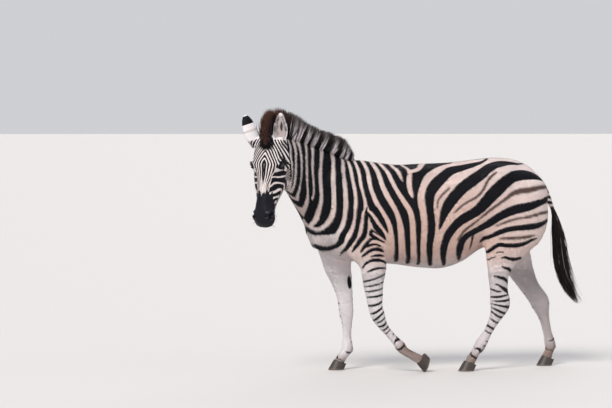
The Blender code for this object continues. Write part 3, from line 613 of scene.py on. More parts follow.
def set_lids(places):
    """Eyelids: the skin laid over each eyeball, with an almond opening and a rim."""
    for sign in (1, -1):
        mirror = np.array((sign, 1, 1))
        local = places * mirror - EYE_PLACE
        far = np.linalg.norm(local, axis=1)
        u = local / np.maximum(far, 1e-9)[:, None]
        off = np.degrees(np.arccos(np.clip(u @ GAZE, -1, 1)))
        turn = np.arctan2(u @ LID_RISE, u @ LID_WAY)
        upper = u @ LID_RISE > 0
        edge = 1.0 / np.sqrt((np.cos(turn) / 50.0) ** 2 + (np.sin(turn) / np.where(upper, 30.0, 34.0)) ** 2)
        edge = edge * (1.0 + 0.16 * np.cos(turn) ** 8)
        near = (far < 0.058) & (off < 118)
        past = off - edge
        rim = near & (np.abs(past) < 3.4)
        inside = near & (past <= -3.4)
        lid = near & (past >= 3.4)
        hood = np.where(upper, 0.0032, 0.0018) * bump_at(past - 12.0, 9.0)
        crease = 0.0022 * bump_at(past - 24.0, 8.0)
        wanted = EYE_RADIUS + 0.0030 + hood - crease
        hold = 1.0 - ramp(past, 22.0, 46.0)
        radius = np.where(lid, far * (1 - hold) + wanted * hold, far)
        radius = np.where(inside, EYE_RADIUS - 0.006, radius)
        radius = np.where(rim, EYE_RADIUS + 0.0026, radius)
        slide = np.where(rim, np.radians(edge), np.radians(off))
        aside = unit(u - GAZE * (u @ GAZE)[:, None])
        set_to = GAZE * np.cos(slide)[:, None] + aside * np.sin(slide)[:, None]
        made = (EYE_PLACE + set_to * radius[:, None]) * mirror
        places = np.where((rim | inside | lid)[:, None], made, places)
    return places


def carve_head(places, normals):
    """Nostrils, mouth, lips, chin, cheek ridge, brow and the folds of the muzzle."""
    side = np.abs(places[:, 0])
    down, out = places[:, 1], places[:, 2]
    flat = np.stack((down, out), axis=1)
    depth = np.zeros(len(places))
    comma, along = path_gap(flat, ((0.474, -0.066), (0.486, -0.050), (0.501, -0.048), (0.512, -0.060)))
    comma = comma - 0.0060 * (1.0 - 0.6 * along)
    on_side = ramp(side, 0.018, 0.030)
    depth += on_side * (0.0030 * bump_at(comma - 0.009, 0.009) - 0.0175 * (1.0 - ramp(comma, -0.002, 0.0048)))
    lip, ahead = path_gap(flat, MOUTH)
    depth -= 0.0075 * bump_at(lip, 0.0042) * ramp(ahead, 0.0, 0.12)
    above = ramp(out + 0.118, 0.0, 0.004)
    depth += 0.0026 * bump_at(lip - 0.011, 0.010) * ramp(ahead, 0.05, 0.4) * (0.7 + 0.6 * above)
    depth += 0.0022 * bump_at(np.hypot(down - 0.447, out + 0.121), 0.012)
    ridge, _ = path_gap(flat, ((0.225, -0.088), (0.270, -0.092), (0.325, -0.088)))
    depth += 0.0036 * bump_at(ridge, 0.015) * ramp(side, 0.03, 0.05)
    hollow, _ = path_gap(flat, ((0.250, -0.045), (0.330, -0.048), (0.400, -0.060)))
    depth -= 0.0030 * bump_at(hollow, 0.022) * ramp(side, 0.02, 0.04)
    brow, _ = path_gap(flat, ((0.140, -0.010), (0.165, -0.006), (0.195, -0.014)))
    depth += 0.0026 * bump_at(brow, 0.014) * ramp(side, 0.045, 0.060)
    salt, _ = path_gap(flat, ((0.110, -0.020), (0.135, -0.026)))
    depth -= 0.0032 * bump_at(salt, 0.018) * ramp(side, 0.05, 0.07)
    folds = np.sin((down * 0.8 + out * 0.6) * 2 * pi / 0.011 + side * 30.0)
    where = ramp(down, 0.45, 0.47) * (1.0 - ramp(down, 0.50, 0.53)) * ramp(side, 0.02, 0.035)
    depth += 0.0006 * folds * where
    return places + normals * depth[:, None]


def ear_section(t):
    """Half width and depth of an ear, and how far its edges wrap round the cup, at a share of its height."""
    wide = EAR_WIDTH / 2 * (0.40 + 0.60 * sin(min(1.0, t / 0.52) * pi / 2))
    wide = wide * (1.0 - min(t, 0.985) ** 3.2) ** 0.5
    deep = 0.030 * (1.0 - 0.45 * t) * (1.0 - t**4) + 0.003
    return wide, deep, radians(150 - 62 * min(1.0, t / 0.45))


def ear_form(side):
    """A cupped leaf with a thin wall, its edges rolled, from a round foot to a rounded tip."""
    foot, up, opens = (Vector(v) for v in EARS[side])
    up.normalize()
    opens = (opens - up * opens.dot(up)).normalized()
    across = up.cross(opens)
    rings = []
    for k in range(30):
        t = k / 29
        wide, deep, spread = ear_section(t)
        wall = min(0.0078 - 0.0030 * t, wide * 0.6)
        turns = np.linspace(-spread, spread, 17)
        fan = np.sin(turns) / sin(min(spread, pi / 2))
        outer = [(wide * f, -deep * cos(a)) for f, a in zip(fan, turns)]
        inner = [((wide - wall) * f, -(deep - wall) * cos(a)) for f, a in zip(fan, turns)]
        lift = foot + up * (t * EAR_LENGTH - EAR_SUNK)
        rings.append([lift + across * u + opens * v for u, v in outer + inner[::-1]])
    return loft("ear", rings)


def ear_ways(side):
    """The foot of an ear, the ways up it and out of its cup, and the way across it."""
    foot, up, opens = (np.array(v, dtype=float) for v in EARS[side])
    up = unit(up)
    opens = unit(opens - up * (opens @ up))
    return foot, up, opens, np.cross(up, opens)


def on_ears(points, normals=None):
    """How far up an ear each place is (0 to 1, or -1 off the ears), across it, in its cup, and 1 if it faces
    into the cup."""
    found = np.full((len(points), 4), -1.0)
    for side in EARS:
        foot, up, opens, across = ear_ways(side)
        away = points - foot
        t = (away @ up + EAR_SUNK) / EAR_LENGTH
        u = away @ across
        v = away @ opens
        inward = np.zeros(len(points))
        if normals is not None:
            inward = -np.sign((normals @ across) * u + (normals @ opens) * v)
        hit = (t > 0.15) & (t < 1.06) & (np.abs(u) < 0.055) & (v > -0.042) & (v < 0.045)
        found = np.where(hit[:, None], np.stack((t, u, v, inward), axis=1), found)
    return found


def with_ears(thing):
    """The skin with both ears grown on, and the crease at their feet eased."""
    for side in EARS:
        ear = ear_form(side)
        bpy.context.view_layer.update()
        grow = thing.modifiers.new("grow", "BOOLEAN")
        grow.operation = "UNION"
        grow.solver = "MANIFOLD"
        grow.object = ear
        thing = worked_in(thing, "zebra_skin")
        bpy.data.objects.remove(ear)
    points = places_of(thing.data)
    weights = np.zeros(len(points))
    for foot, up, _ in EARS.values():
        away = points - foot
        t = away @ unit(np.array(up))
        weights = np.maximum(weights, bump_at(t - 0.004, 0.034) * (np.linalg.norm(away, axis=1) < 0.075))
    return eased(thing, weights, 8)


def full_skin():
    """The skin at the tips of its coat, in the animal's own metres."""
    body = worked_finer(fused_body())
    points = places_of(body.data)
    normals = np.array([v.normal for v in body.data.vertices])
    face = head_share(points) > 0.5
    local = carve_head(from_head(points), normals @ HEAD_FRAME.T)
    local = set_lids(local)
    points[face] = (POLL + local @ HEAD_FRAME)[face]
    body.data.vertices.foreach_set("co", points.ravel())
    body.data.update()
    return with_ears(body)


zebra_skin = full_skin()

# ---------------------------------------------------------------------------------------------------------
# The stripes. Black and pale hairs grow side by side in the same short coat: pale lines on black in front,
# black bands with brown shadows between them on the haunch, rings round the legs, fine lines down the face.
# They are measured on the left side; the right side has them mirrored and a little shifted.
# ---------------------------------------------------------------------------------------------------------

# the next four tables are in millimetres
MM_PER_METRE = 1000
# black ground of neck, shoulder and barrel: x, z of its outline
BLACK_GROUND = (
    (150, 1500), (150, 1285), (80, 1270), (10, 1245), (-45, 1205), (-73, 1155), (-93, 1100), (-95, 1050),
    (-88, 1000), (-83, 950), (-81, 900), (-81, 800), (-75, 750), (-62, 700), (-45, 600), (-270, 600),
    (-264, 700), (-269, 750), (-275, 800), (-281, 850), (-290, 900), (-311, 950), (-341, 1000), (-565, 1000),
    (-570, 950), (-584, 900), (-605, 872), (-630, 862), (-670, 855), (-715, 857), (-745, 853), (-775, 875),
    (-800, 892), (-830, 920), (-860, 980), (-900, 1080), (-960, 1200), (-1000, 1500),
)
# pale lines on the black ground: x, z, half width
PALE_LINES = (
    # neck
    ((-925, 1430, 5), (-918, 1400, 6), (-920, 1350, 5), (-913, 1300, 5), (-908, 1220, 4), (-915, 1150, 8),
     (-925, 1110, 10)),
    ((-895, 1440, 9), (-884, 1390, 8), (-885, 1300, 6.5), (-886, 1200, 7), (-891, 1150, 8),
     (-910, 1110, 13)),
    ((-865, 1450, 14), (-853, 1400, 8), (-845, 1340, 6), (-846, 1250, 5), (-848, 1190, 4.5), (-853, 1140, 6),
     (-859, 1090, 10), (-862, 1020, 14)),
    ((-810, 1450, 12), (-804, 1400, 8), (-808, 1330, 7), (-809, 1250, 7), (-803, 1160, 6), (-796, 1100, 7),
     (-800, 1050, 12), (-812, 1000, 14), (-825, 950, 13)),
    ((-745, 1450, 15), (-757, 1400, 12), (-762, 1350, 8), (-768, 1300, 9), (-768, 1240, 7), (-760, 1150, 6),
     (-760, 1100, 5), (-768, 1077, 5)),
    ((-680, 1450, 12), (-692, 1380, 13), (-707, 1300, 9.5), (-716, 1230, 12), (-714, 1150, 11),
     (-710, 1100, 9.5), (-715, 1050, 11.5), (-728, 1000, 14), (-741, 950, 15), (-760, 922, 12)),
    ((-605, 1420, 10), (-617, 1350, 14), (-620, 1300, 12), (-638, 1200, 13), (-637, 1120, 13),
     (-634, 1050, 13), (-638, 1000, 15), (-657, 950, 16), (-690, 915, 13), (-730, 890, 11), (-765, 905, 8),
     (-805, 950, 7)),
    # shoulder
    ((-550, 1340, 8), (-553, 1300, 10), (-563, 1240, 12), (-566, 1180, 14), (-563, 1050, 14.5),
     (-564, 1000, 14.5), (-570, 950, 14.5), (-585, 900, 17), (-610, 840, 20)),
    ((-518, 1320, 8), (-511, 1250, 10), (-509, 1200, 10), (-503, 1150, 11), (-499, 1080, 10),
     (-505, 1000, 12), (-514, 950, 13)),
    ((-475, 1310, 9), (-463, 1240, 9.5), (-460, 1160, 9.5), (-450, 1100, 8.5), (-441, 1050, 9.5),
     (-450, 1000, 6.5), (-460, 950, 8.5)),
    ((-441, 1050, 9.5), (-433, 1025, 6), (-420, 1000, 8), (-383, 950, 10)),
    ((-423, 1310, 11), (-408, 1250, 11.5), (-406, 1200, 13), (-402, 1150, 12), (-390, 1100, 13),
     (-371, 1050, 14), (-341, 1000, 12.5), (-311, 950, 11.5), (-290, 900, 10.5), (-281, 850, 12.5),
     (-274, 800, 14), (-268, 750, 14), (-263, 700, 12)),
    # barrel
    ((-368, 1305, 12), (-346, 1250, 13.5), (-336, 1200, 14), (-325, 1150, 15), (-306, 1100, 16),
     (-281, 1050, 15.5), (-256, 1000, 13.5), (-240, 950, 15), (-229, 900, 18), (-223, 850, 19),
     (-216, 800, 19.5), (-207, 750, 20), (-196, 700, 22), (-195, 620, 26)),
    ((-317, 1300, 10), (-289, 1250, 11), (-270, 1200, 12.5), (-251, 1150, 12.5), (-226, 1100, 13.5),
     (-197, 1050, 15), (-169, 1000, 15.5), (-158, 950, 16.5), (-153, 900, 17), (-150, 850, 17.5),
     (-144, 800, 17.5), (-137, 750, 18), (-126, 700, 20), (-118, 620, 24)),
    ((-245, 1290, 11), (-226, 1250, 11.5), (-205, 1200, 7.5), (-200, 1183, 3)),
    ((-190, 1310, 7), (-165, 1270, 9), (-152, 1240, 12), (-156, 1200, 15), (-160, 1150, 15.5),
     (-152, 1100, 10), (-146, 1083, 3)),
    ((-20, 1300, 7), (-60, 1280, 9), (-100, 1256, 10), (-150, 1243, 10)),
    ((220, 1295, 8), (150, 1285, 10), (80, 1270, 12), (10, 1245, 14), (-45, 1205, 17), (-73, 1155, 19),
     (-93, 1100, 21), (-95, 1050, 22.5), (-88, 1000, 21), (-83, 950, 20), (-81, 900, 19.5), (-81, 800, 18.5),
     (-75, 750, 18.5), (-62, 700, 21.5), (-50, 620, 22)),
)
# black bands on the pale ground: x, z, half width
BLACK_BANDS = (
    # chest
    ((-735, 790, 10), (-700, 772, 15), (-660, 768, 15), (-620, 781, 15), (-595, 800, 15.5),
     (-581, 850, 16.5), (-554, 900, 16), (-540, 950, 19.5), (-533, 1010, 18)),
    # shoulder and elbow
    ((-480, 1010, 16.5), (-487, 950, 15), (-496, 900, 13.5), (-511, 850, 16), (-541, 800, 14.5),
     (-567, 750, 8), (-580, 720, 3)),
    ((-438, 1025, 2), (-437, 1000, 7), (-440, 970, 11), (-441, 920, 13), (-445, 880, 15), (-453, 850, 15.5),
     (-478, 820, 14), (-490, 800, 12), (-510, 775, 10), (-522, 750, 4)),
    ((-430, 990, 6), (-412, 965, 9), (-400, 940, 12), (-380, 905, 15), (-355, 875, 16), (-330, 845, 10),
     (-315, 820, 3)),
    ((-384, 1010, 21), (-346, 950, 17), (-320, 900, 11), (-305, 865, 4)),
    ((-405, 890, 4), (-408, 875, 9), (-412, 858, 9), (-393, 846, 8), (-368, 832, 7), (-349, 820, 6),
     (-317, 804, 3)),
    ((-400, 880, 4), (-370, 860, 2), (-340, 842, 1.5)),
    ((-472, 752, 5), (-452, 780, 11), (-435, 800, 12), (-418, 822, 9), (-395, 833, 8), (-365, 827, 6)),
    ((-430, 785, 7), (-400, 797, 6), (-370, 795, 6), (-345, 786, 4), (-330, 776, 2)),
    ((-465, 720, 4), (-440, 742, 9), (-418, 758, 10), (-385, 767, 9.5), (-350, 764, 10.5), (-322, 750, 4)),
    ((-415, 722, 3), (-380, 728, 7), (-350, 729, 8), (-320, 722, 4)),
    ((-457, 652, 4), (-442, 675, 7), (-420, 692, 8), (-385, 700, 10), (-350, 698, 9), (-320, 690, 7),
     (-300, 678, 5)),
    ((-460, 597, 3), (-440, 615, 5), (-410, 634, 6.5), (-375, 647, 7.5), (-340, 651, 6), (-300, 648, 4)),
    # haunch
    ((340, 1305, 5), (250, 1280, 13), (200, 1268, 16), (100, 1240, 25), (45, 1200, 30), (-10, 1150, 33),
     (-40, 1100, 30), (-46, 1050, 27), (-44, 1000, 23), (-39, 950, 24), (-37, 900, 24.5), (-39, 850, 23),
     (-42, 800, 20), (-38, 750, 18.5), (-26, 700, 14), (-10, 655, 10), (0, 635, 6)),
    ((560, 1290, 6), (500, 1295, 11), (450, 1293, 15), (400, 1283, 18), (350, 1262, 23), (300, 1225, 30),
     (245, 1190, 33), (180, 1148, 34), (127, 1100, 34), (82, 1050, 34), (50, 1000, 28), (31, 950, 19),
     (18, 905, 10), (11, 880, 3)),
    ((730, 1185, 7), (700, 1198, 12), (660, 1212, 20), (600, 1221, 29), (550, 1220, 32), (500, 1209, 35),
     (450, 1178, 38), (400, 1134, 40), (350, 1088, 38), (300, 1037, 35), (250, 995, 31), (200, 968, 30),
     (150, 940, 29), (106, 900, 27), (70, 850, 27), (54, 800, 24), (50, 750, 22), (60, 700, 15.5),
     (80, 660, 9), (90, 640, 4)),
    ((800, 1085, 12), (750, 1073, 18), (700, 1055, 19), (650, 1040, 22), (600, 1025, 26), (550, 1016, 28),
     (500, 1004, 28), (450, 984, 26), (400, 958, 25), (350, 926, 24), (300, 898, 21), (250, 873, 19),
     (205, 850, 19), (172, 820, 22), (160, 790, 25), (158, 750, 24), (161, 720, 16), (175, 690, 8)),
    ((237, 860, 6), (236, 820, 7), (234, 785, 6), (230, 755, 3)),
    ((770, 955, 6), (745, 940, 10), (700, 918, 14), (650, 903, 18), (600, 898, 19), (550, 893, 17),
     (500, 889, 16), (450, 880, 16), (400, 861, 15), (350, 836, 12), (315, 822, 12), (300, 800, 6)),
    ((660, 825, 5), (620, 813, 8), (580, 795, 12), (550, 787, 13), (500, 782, 13), (450, 784, 13),
     (400, 785, 12), (375, 768, 11), (350, 746, 9), (325, 728, 4)),
    # thigh
    ((335, 683, 3), (360, 700, 4), (395, 716, 3)),
    ((385, 735, 2), (410, 742, 4), (440, 740, 2)),
    ((420, 703, 3), (450, 709, 7), (475, 700, 9), (510, 695, 11), (560, 700, 9)),
    ((425, 655, 2), (450, 643, 6), (475, 637, 9), (505, 618, 10)),
    ((385, 594, 3), (420, 585, 8), (450, 576, 9.5), (475, 560, 9.5), (495, 540, 8)),
    ((385, 543, 2), (415, 535, 6), (440, 520, 8), (465, 505, 13), (490, 490, 12)),
    ((340, 522, 3), (370, 510, 4), (400, 498, 6), (425, 495, 5), (440, 500, 2)),
)
# brown lines in the pale between the bands of the haunch: x, z, half width
SHADOW_LINES = (
    ((750, 1148, 9), (720, 1147, 11), (655, 1139, 14), (600, 1127, 16), (545, 1120, 17), (500, 1107, 14),
     (455, 1078, 10), (410, 1047, 8), (365, 1017, 8), (320, 983, 8), (270, 945, 5), (220, 910, 7),
     (170, 870, 8), (135, 820, 5)),
    ((770, 995, 6), (690, 983, 9), (630, 968, 9), (570, 957, 7), (517, 950, 6), (465, 935, 7), (425, 920, 6),
     (385, 903, 3)),
    ((640, 845, 4), (600, 836, 8), (550, 832, 9), (500, 830, 9), (450, 828, 8), (410, 825, 4)),
    ((390, 1235, 6), (355, 1210, 8), (330, 1175, 8), (310, 1138, 8), (260, 1088, 7), (210, 1062, 6),
     (153, 1027, 6), (110, 990, 4)),
    ((90, 1145, 4), (40, 1103, 6), (12, 1070, 5), (-2, 1020, 3)),
)
# how far below elbow or stifle each ring of a leg lies, its half width, and how much it rises rearwards
FORE_RINGS = ((0.117, 0.0055, 0.028), (0.157, 0.005, 0.013), (0.193, 0.005, 0.007), (0.232, 0.006, 0.003),
              (0.280, 0.0065, 0.010), (0.320, 0.0065, 0.013), (0.357, 0.006, 0.015), (0.389, 0.004, 0.004),
              (0.418, 0.006, 0.0), (0.446, 0.005, 0.0), (0.472, 0.003, 0.0))
HIND_RINGS = ((0.240, 0.0065, 0.0), (0.268, 0.0055, 0.0), (0.300, 0.006, 0.0), (0.337, 0.0065, -0.003),
              (0.366, 0.006, -0.003), (0.404, 0.005, 0.0), (0.450, 0.0065, 0.0), (0.485, 0.004, 0.0))
# how tan the pale hair is along the body: x, share
TAN_ALONG = ((-1.1, 0.25), (-0.85, 0.30), (-0.55, 0.45), (-0.2, 0.75), (0.25, 0.70), (0.55, 0.42),
             (0.75, 0.35))
# x of the body and y of its middle plane, which bends with the neck
MIDDLE_PLANE = ((-1.05, -0.205), (-0.95, -0.163), (-0.86, -0.12), (-0.76, -0.075), (-0.66, -0.03),
                (-0.55, 0.0), (-0.44, 0.0))
# cheek arcs about one centre: radius, half width
CHEEK_CENTRE = (0.415, -0.125)
CHEEK_ARCS = ((0.016, 0.007), (0.050, 0.009), (0.082, 0.011), (0.123, 0.015), (0.164, 0.015), (0.202, 0.014))


def inside_of(points, outline):
    """How far each flat place lies inside an outline; less than 0 outside."""
    gap = np.full(len(points), 9.0)
    inside = np.zeros(len(points), dtype=bool)
    corners = np.array(outline) / MM_PER_METRE
    for a, b in zip(corners, np.roll(corners, -1, axis=0)):
        t = np.clip((points - a) @ (b - a) / ((b - a) @ (b - a)), 0.0, 1.0)
        gap = np.minimum(gap, np.linalg.norm(points - a - t[:, None] * (b - a), axis=1))
        rises = (a[1] > points[:, 1]) != (b[1] > points[:, 1])
        crossing = (b[0] - a[0]) * (points[:, 1] - a[1]) / (b[1] - a[1] + 1e-12) + a[0]
        inside ^= rises & (points[:, 0] < crossing)
    return np.where(inside, gap, -gap)


def reach(points, strokes):
    """How far each flat place lies inside the nearest of some strokes of changing width."""
    best = np.full(len(points), -1.0)
    for stroke in strokes:
        stroke = np.array(stroke) / MM_PER_METRE
        (x, z, half), (next_x, next_z, _) = stroke[:2]
        if z > 1.28:  # a stroke that starts on the back is drawn out over it
            stroke = np.vstack(((x + (x - next_x) * 0.10 / (z - next_z + 0.02), z + 0.14, half), stroke))
        table = smooth_rows(stroke, 0.016, 2)
        low, high = table[:, :2].min(axis=0) - 0.06, table[:, :2].max(axis=0) + 0.06
        near = np.flatnonzero(((points > low) & (points < high)).all(axis=1))
        here = points[near]
        found = best[near]
        for a, b in zip(table, table[1:]):
            way = b[:2] - a[:2]
            t = np.clip((here - a[:2]) @ way / (way @ way), 0.0, 1.0)
            gap = np.linalg.norm(here - a[:2] - t[:, None] * way, axis=1)
            found = np.maximum(found, a[2] + (b[2] - a[2]) * t - gap)
        best[near] = found
    return best


def leg_axis_x(rows, heights):
    """Where a leg's axis passes at each height."""
    table = np.array(rows)[::-1]
    return np.interp(heights, table[:, 2], table[:, 0])


def left_side_view(points):
    """Each place as the one it answers to on the left side: x and height."""
    x, y, z = points.T
    table = np.array(MIDDLE_PLANE)
    middle = np.interp(x, table[:, 0], table[:, 1]) * ramp(z, 0.85, 1.05)
    slope = np.gradient(table[:, 1], table[:, 0])
    lean = np.interp(x, table[:, 0], slope) * ramp(z, 0.85, 1.05)
    away = y - middle
    right = ramp(away, 0.0, 0.03)
    hind = leg_axis_x(HINDLEG_RIGHT, z) - leg_axis_x(HINDLEG_LEFT, z)
    fore = leg_axis_x(FORELEG_RIGHT, z) - leg_axis_x(FORELEG_LEFT, z)
    moved = hind * ramp(x, 0.15, 0.32) * (1.0 - ramp(z, 0.95, 1.10))
    moved = moved + fore * (1.0 - ramp(x, -0.40, -0.15)) * (1.0 - ramp(z, 0.78, 0.95))
    warp = 0.010 * np.sin(z * 11.0 + 1.0) + 0.006 * np.sin(x * 17.0)
    seen = x + right * (2.0 * lean * away / (1.0 + lean**2) - moved + warp)
    return np.stack((seen, z), axis=1), away


def own_to_leg(x, y, outward, hind):
    """Whether places low down belong to the leg on that side, fore or hind."""
    return (y * outward > 0) & ((x > (0.02 if outward < 0 else 0.15)) == hind)


def leg_rings(points, rows, rings, outward, top):
    """Rings round one leg, how sure a place belongs to it, how far down it lies, and how far to its rear and
    its outer side."""
    table = smooth_rows(rows, SECTION_STEP)
    table = table[table[:, 2] < 0.74]
    tree = KDTree(len(table))
    for k, row in enumerate(table):
        tree.insert(row[:3], k)
    tree.balance()
    near = np.array([tree.find(p)[1] for p in points], dtype=int)
    row = table[near]
    down = np.concatenate(([0.0], np.cumsum(np.linalg.norm(np.diff(table[:, :3], axis=0), axis=1))))
    down = down + 0.70 - table[0, 2]
    along = unit(np.gradient(table[:, :3], axis=0))[near]
    away = points - row[:, :3]
    a = down[near] + (away * along).sum(axis=1)
    fore = unit(np.cross((0.0, 1.0, 0.0), along))
    f = (away * fore).sum(axis=1) / row[:, 3] * np.sign(fore[:, 0])
    q = outward * away[:, 1] / row[:, 4]
    on_it = (np.abs(f) < 1.5) & (np.abs(away[:, 1]) < 1.7 * row[:, 4] + 0.01) | (points[:, 2] < 0.12)
    sure = np.where(on_it, 1.0 - ramp(points[:, 2], top - 0.01, top + 0.01), 0.0)
    inner = ramp(-q, 0.0, 0.75)
    band = np.full(len(points), -0.02)
    for k, (place, half, rise) in enumerate(rings):
        bow = -rise * f - 0.006 * f * f
        uneven = 0.0016 * np.sin(q * 3.0 + k * 1.7)
        half = half + 0.001 - (0.0098 - 0.003 * (k % 3 == 1)) * inner
        half = half - (0.002 + 0.002 * (k % 2)) * ramp(-f, 0.45, 1.0)
        band = np.maximum(band, half - np.abs(a - place - bow + uneven))
    return band, sure, a, f, q


def row_depth(rows, a):
    """Half depth of a leg, how far down it."""
    table = np.array(rows)
    return np.interp(a, 0.70 - table[:, 2], table[:, 3])


def face_marks(points):
    """Black lines and arcs of the face, the dark muzzle, and painted shade behind the cheek and under the
    jaw.
    """
    side, down, out = from_head(points).T
    flank = np.abs(side)
    period = 0.0178 * np.interp(down, (0.0, 0.185, 0.25, 0.32, 0.38), (1.0, 1.0, 0.72, 0.47, 0.42))
    round_off = np.sqrt(side**2 + 0.005**2) - 0.003
    above = 0.016 * np.logaddexp(0.0, (0.185 - down) / 0.016)
    turn = round_off / period + above / 0.029 + np.maximum(down - 0.185, 0.0) / 0.16 - 0.35
    turn = turn + 0.10 * np.sin(down * 37.0 + side * 22.0) + 0.07 * np.sin(side * 75.0 + 1.0)
    turn = turn - 0.05 * np.sin(down * 80.0)
    front = period * (0.30 + 0.03 * np.sin(turn * 2.1) - np.abs(turn - np.floor(turn) - 0.5))
    front = front - 0.0017 * ramp(down, 0.235, 0.30) * (1.0 - ramp(flank, 0.012, 0.030))
    below = np.maximum(down - CHEEK_CENTRE[0], 0.0)
    radius = np.hypot(np.minimum(down - CHEEK_CENTRE[0], 0.0), out - CHEEK_CENTRE[1] + 0.2 * below)
    radius = radius + 0.004 * np.sin(down * 70.0 + out * 50.0)
    behind = ramp(-out, 0.10, 0.20)
    arcs = [half * (1 - 0.45 * behind) - np.abs(radius - ring + 0.022 * behind) for ring, half in CHEEK_ARCS]
    border = np.interp(down, (0.10, 0.185, 0.205, 0.25, 0.31, 0.38), (0.20, 0.20, 0.070, 0.050, 0.040, 0.034))
    past = flank - border
    band = np.where(past > 0, np.max(arcs, axis=0), front)
    band = np.minimum(band, np.where(down > 0.19, np.abs(past) - 0.002, 9.0))
    lines = (out + 0.02 * np.sin(down * 14.0)) / 0.0150
    fine = 0.0150 * (0.26 - np.abs(lines - np.floor(lines) - 0.5))
    rear = ramp(-out, 0.085, 0.115) * (1.0 - ramp(down, 0.22, 0.27))
    jaw = ramp(-out, 0.17, 0.205)
    band = np.where(rear > 0.5, fine, band)
    band = np.where((jaw > 0.5) & (down > 0.10), fine - 0.001, band)
    eye = from_eye(from_head(points))
    patch = 0.030 - np.hypot(eye @ LID_CORNERS, 1.25 * (eye @ np.cross(GAZE, LID_CORNERS)))
    patch = np.where(np.linalg.norm(eye, axis=1) < 0.06, patch, -0.02)
    band = np.maximum(band, np.minimum(patch, 0.01))
    jag = 0.008 * np.sin(side * 260.0) + 0.005 * np.sin(side * 510.0 + 1.0)
    top = 0.372 + 0.056 * ramp(flank, 0.030, 0.048) * ramp(-out, 0.05, 0.08) - 0.02 * ramp(flank, 0.0, 0.02)
    muzzle = down - top + jag
    chin = down - 0.445 + 0.3 * (out + 0.13) + 0.5 * jag
    muzzle = np.where(out < -0.118, chin, muzzle)
    soot = ramp(muzzle, -0.004, 0.006)
    # painted shade: the hair behind the cheek and under the jaw greyed, though not on the bare muzzle
    grey = 0.42 * np.maximum(rear, jaw) * (1 - soot)
    return np.maximum(band, muzzle), soot, grey, down


LEG_MARKS_TOP = 0.74  # height under which a leg has rings of its own


def body_marks(points, normals):
    """Marks of neck and trunk, with the black lines along the back and under the belly."""
    flat, away = left_side_view(points)
    x, y, z = points.T
    ground = np.minimum(inside_of(flat, BLACK_GROUND), -reach(flat, PALE_LINES))
    band = np.maximum(ground, reach(flat, BLACK_BANDS) + 0.001)
    below = ramp(-normals[:, 2], 0.88, 1.0) * ramp(0.95 - z, 0.10, 0.22) * ramp(x, -0.46, -0.38)
    band = band - 0.030 * below * ramp(0.16 - np.abs(y), 0.0, 0.13)
    under = (x > -0.40) & (x < 0.32) & (z < 0.85)
    band = np.maximum(band, np.where(under, 0.010 - np.abs(y), -1.0))
    over = (x > -0.42) & (z > 1.15)
    band = np.maximum(band, np.where(over, 0.006 + 0.007 * ramp(x, 0.05, 0.3) - np.abs(away), -1.0))
    shadow = ramp(reach(flat, SHADOW_LINES), -0.005, 0.003) * (z > 0.75)
    tan = np.interp(x, *np.array(TAN_ALONG).T)
    # the tan thins down the legs; it also fades towards the top of the back as painted light, and the next
    tan = tan * (0.35 + 0.65 * ramp(z, 0.62, 0.80)) * (1.15 - 0.55 * ramp(z, 0.90, 1.28))
    # line deepens it low on the belly as painted shade
    tan = tan + 0.14 * ramp(1.0 - z, 0.15, 0.33) * ramp(x, -0.45, -0.25)
    tan = tan * (1.0 - 0.85 * (1.0 - ramp(x, -0.62, -0.50)) * (1.0 - ramp(z, 0.86, 0.98)))
    marks = {"band": band, "shadow": shadow, "tan": tan}
    return marks | {key: np.zeros(len(points)) for key in ("soot", "grey", "stain_and_painted_shade", "white")}


def mark_leg(points, marks, rows, outward, hind):
    """One leg: its rings, the bars behind its cannon, and the stained pastern with two dark rings."""
    x, y, z = points.T
    own = np.flatnonzero((z < LEG_MARKS_TOP) & own_to_leg(x, y, outward, hind))
    rings, top, cannon_from = (HIND_RINGS, 0.478, 0.51) if hind else (FORE_RINGS, 0.62, 0.49)
    band, z = marks["band"][own], z[own]
    ring, sure, a, f, q = leg_rings(points[own], rows, rings, outward, top)
    inner = ramp(-q, 0.0, 0.75)
    toe = 0.64 if rows is FORELEG_LEFT else 0.70
    bare = inner * (1.0 - ramp(z, 0.66, LEG_MARKS_TOP)) * (1.0 - ramp(np.abs(f), 1.3, 1.9))
    band = band - 0.030 * bare
    if hind:
        # painted shade: the lower hind legs greyed, most on their inner sides, which face each other
        marks["grey"][own] = (0.16 + 0.42 * inner) * (1.0 - ramp(z, 0.55, LEG_MARKS_TOP))
    else:
        chestnut = 0.014 - np.hypot((a - 0.165) * 0.35, (f - 0.6) * row_depth(rows, a) * 0.9)
        ring = np.maximum(ring, np.where(q < -0.3, chestnut, -1.0))
    bars = np.abs(a / 0.030 + 0.25 * f - np.round(a / 0.030 + 0.25 * f)) * 0.030
    cannon = 0.0052 * ramp(f, -0.3, 0.7) * (1.0 - 0.6 * inner) - 0.0012 - bars
    ring = np.where((a > cannon_from) & (a < toe - 0.10), cannon, ring)
    fetlock = 0.009 * ramp(f, -1.3, 0.2) - np.abs(a - toe + 0.100 - 0.012 * np.sin(q * 3.0)) - 0.004 * inner
    pastern = 0.007 - np.abs(a - toe + 0.045 + 0.006 * np.sin(q * 4.0 + 1.0)) - 0.004 * inner
    marks["band"][own] = np.where(sure > 0.5, np.max((ring, fetlock, pastern), axis=0), band)
    foot = ramp(a, toe - 0.10, toe - 0.02)
    marks["stain_and_painted_shade"][own] = sure * (0.85 * foot + 0.22 * ramp(a, 0.36, 0.50) * ramp(f, -0.4, 0.6))
    marks["white"][own] = 0.75 * (1.0 - ramp(z, 0.52, 0.72)) + 0.15 * inner


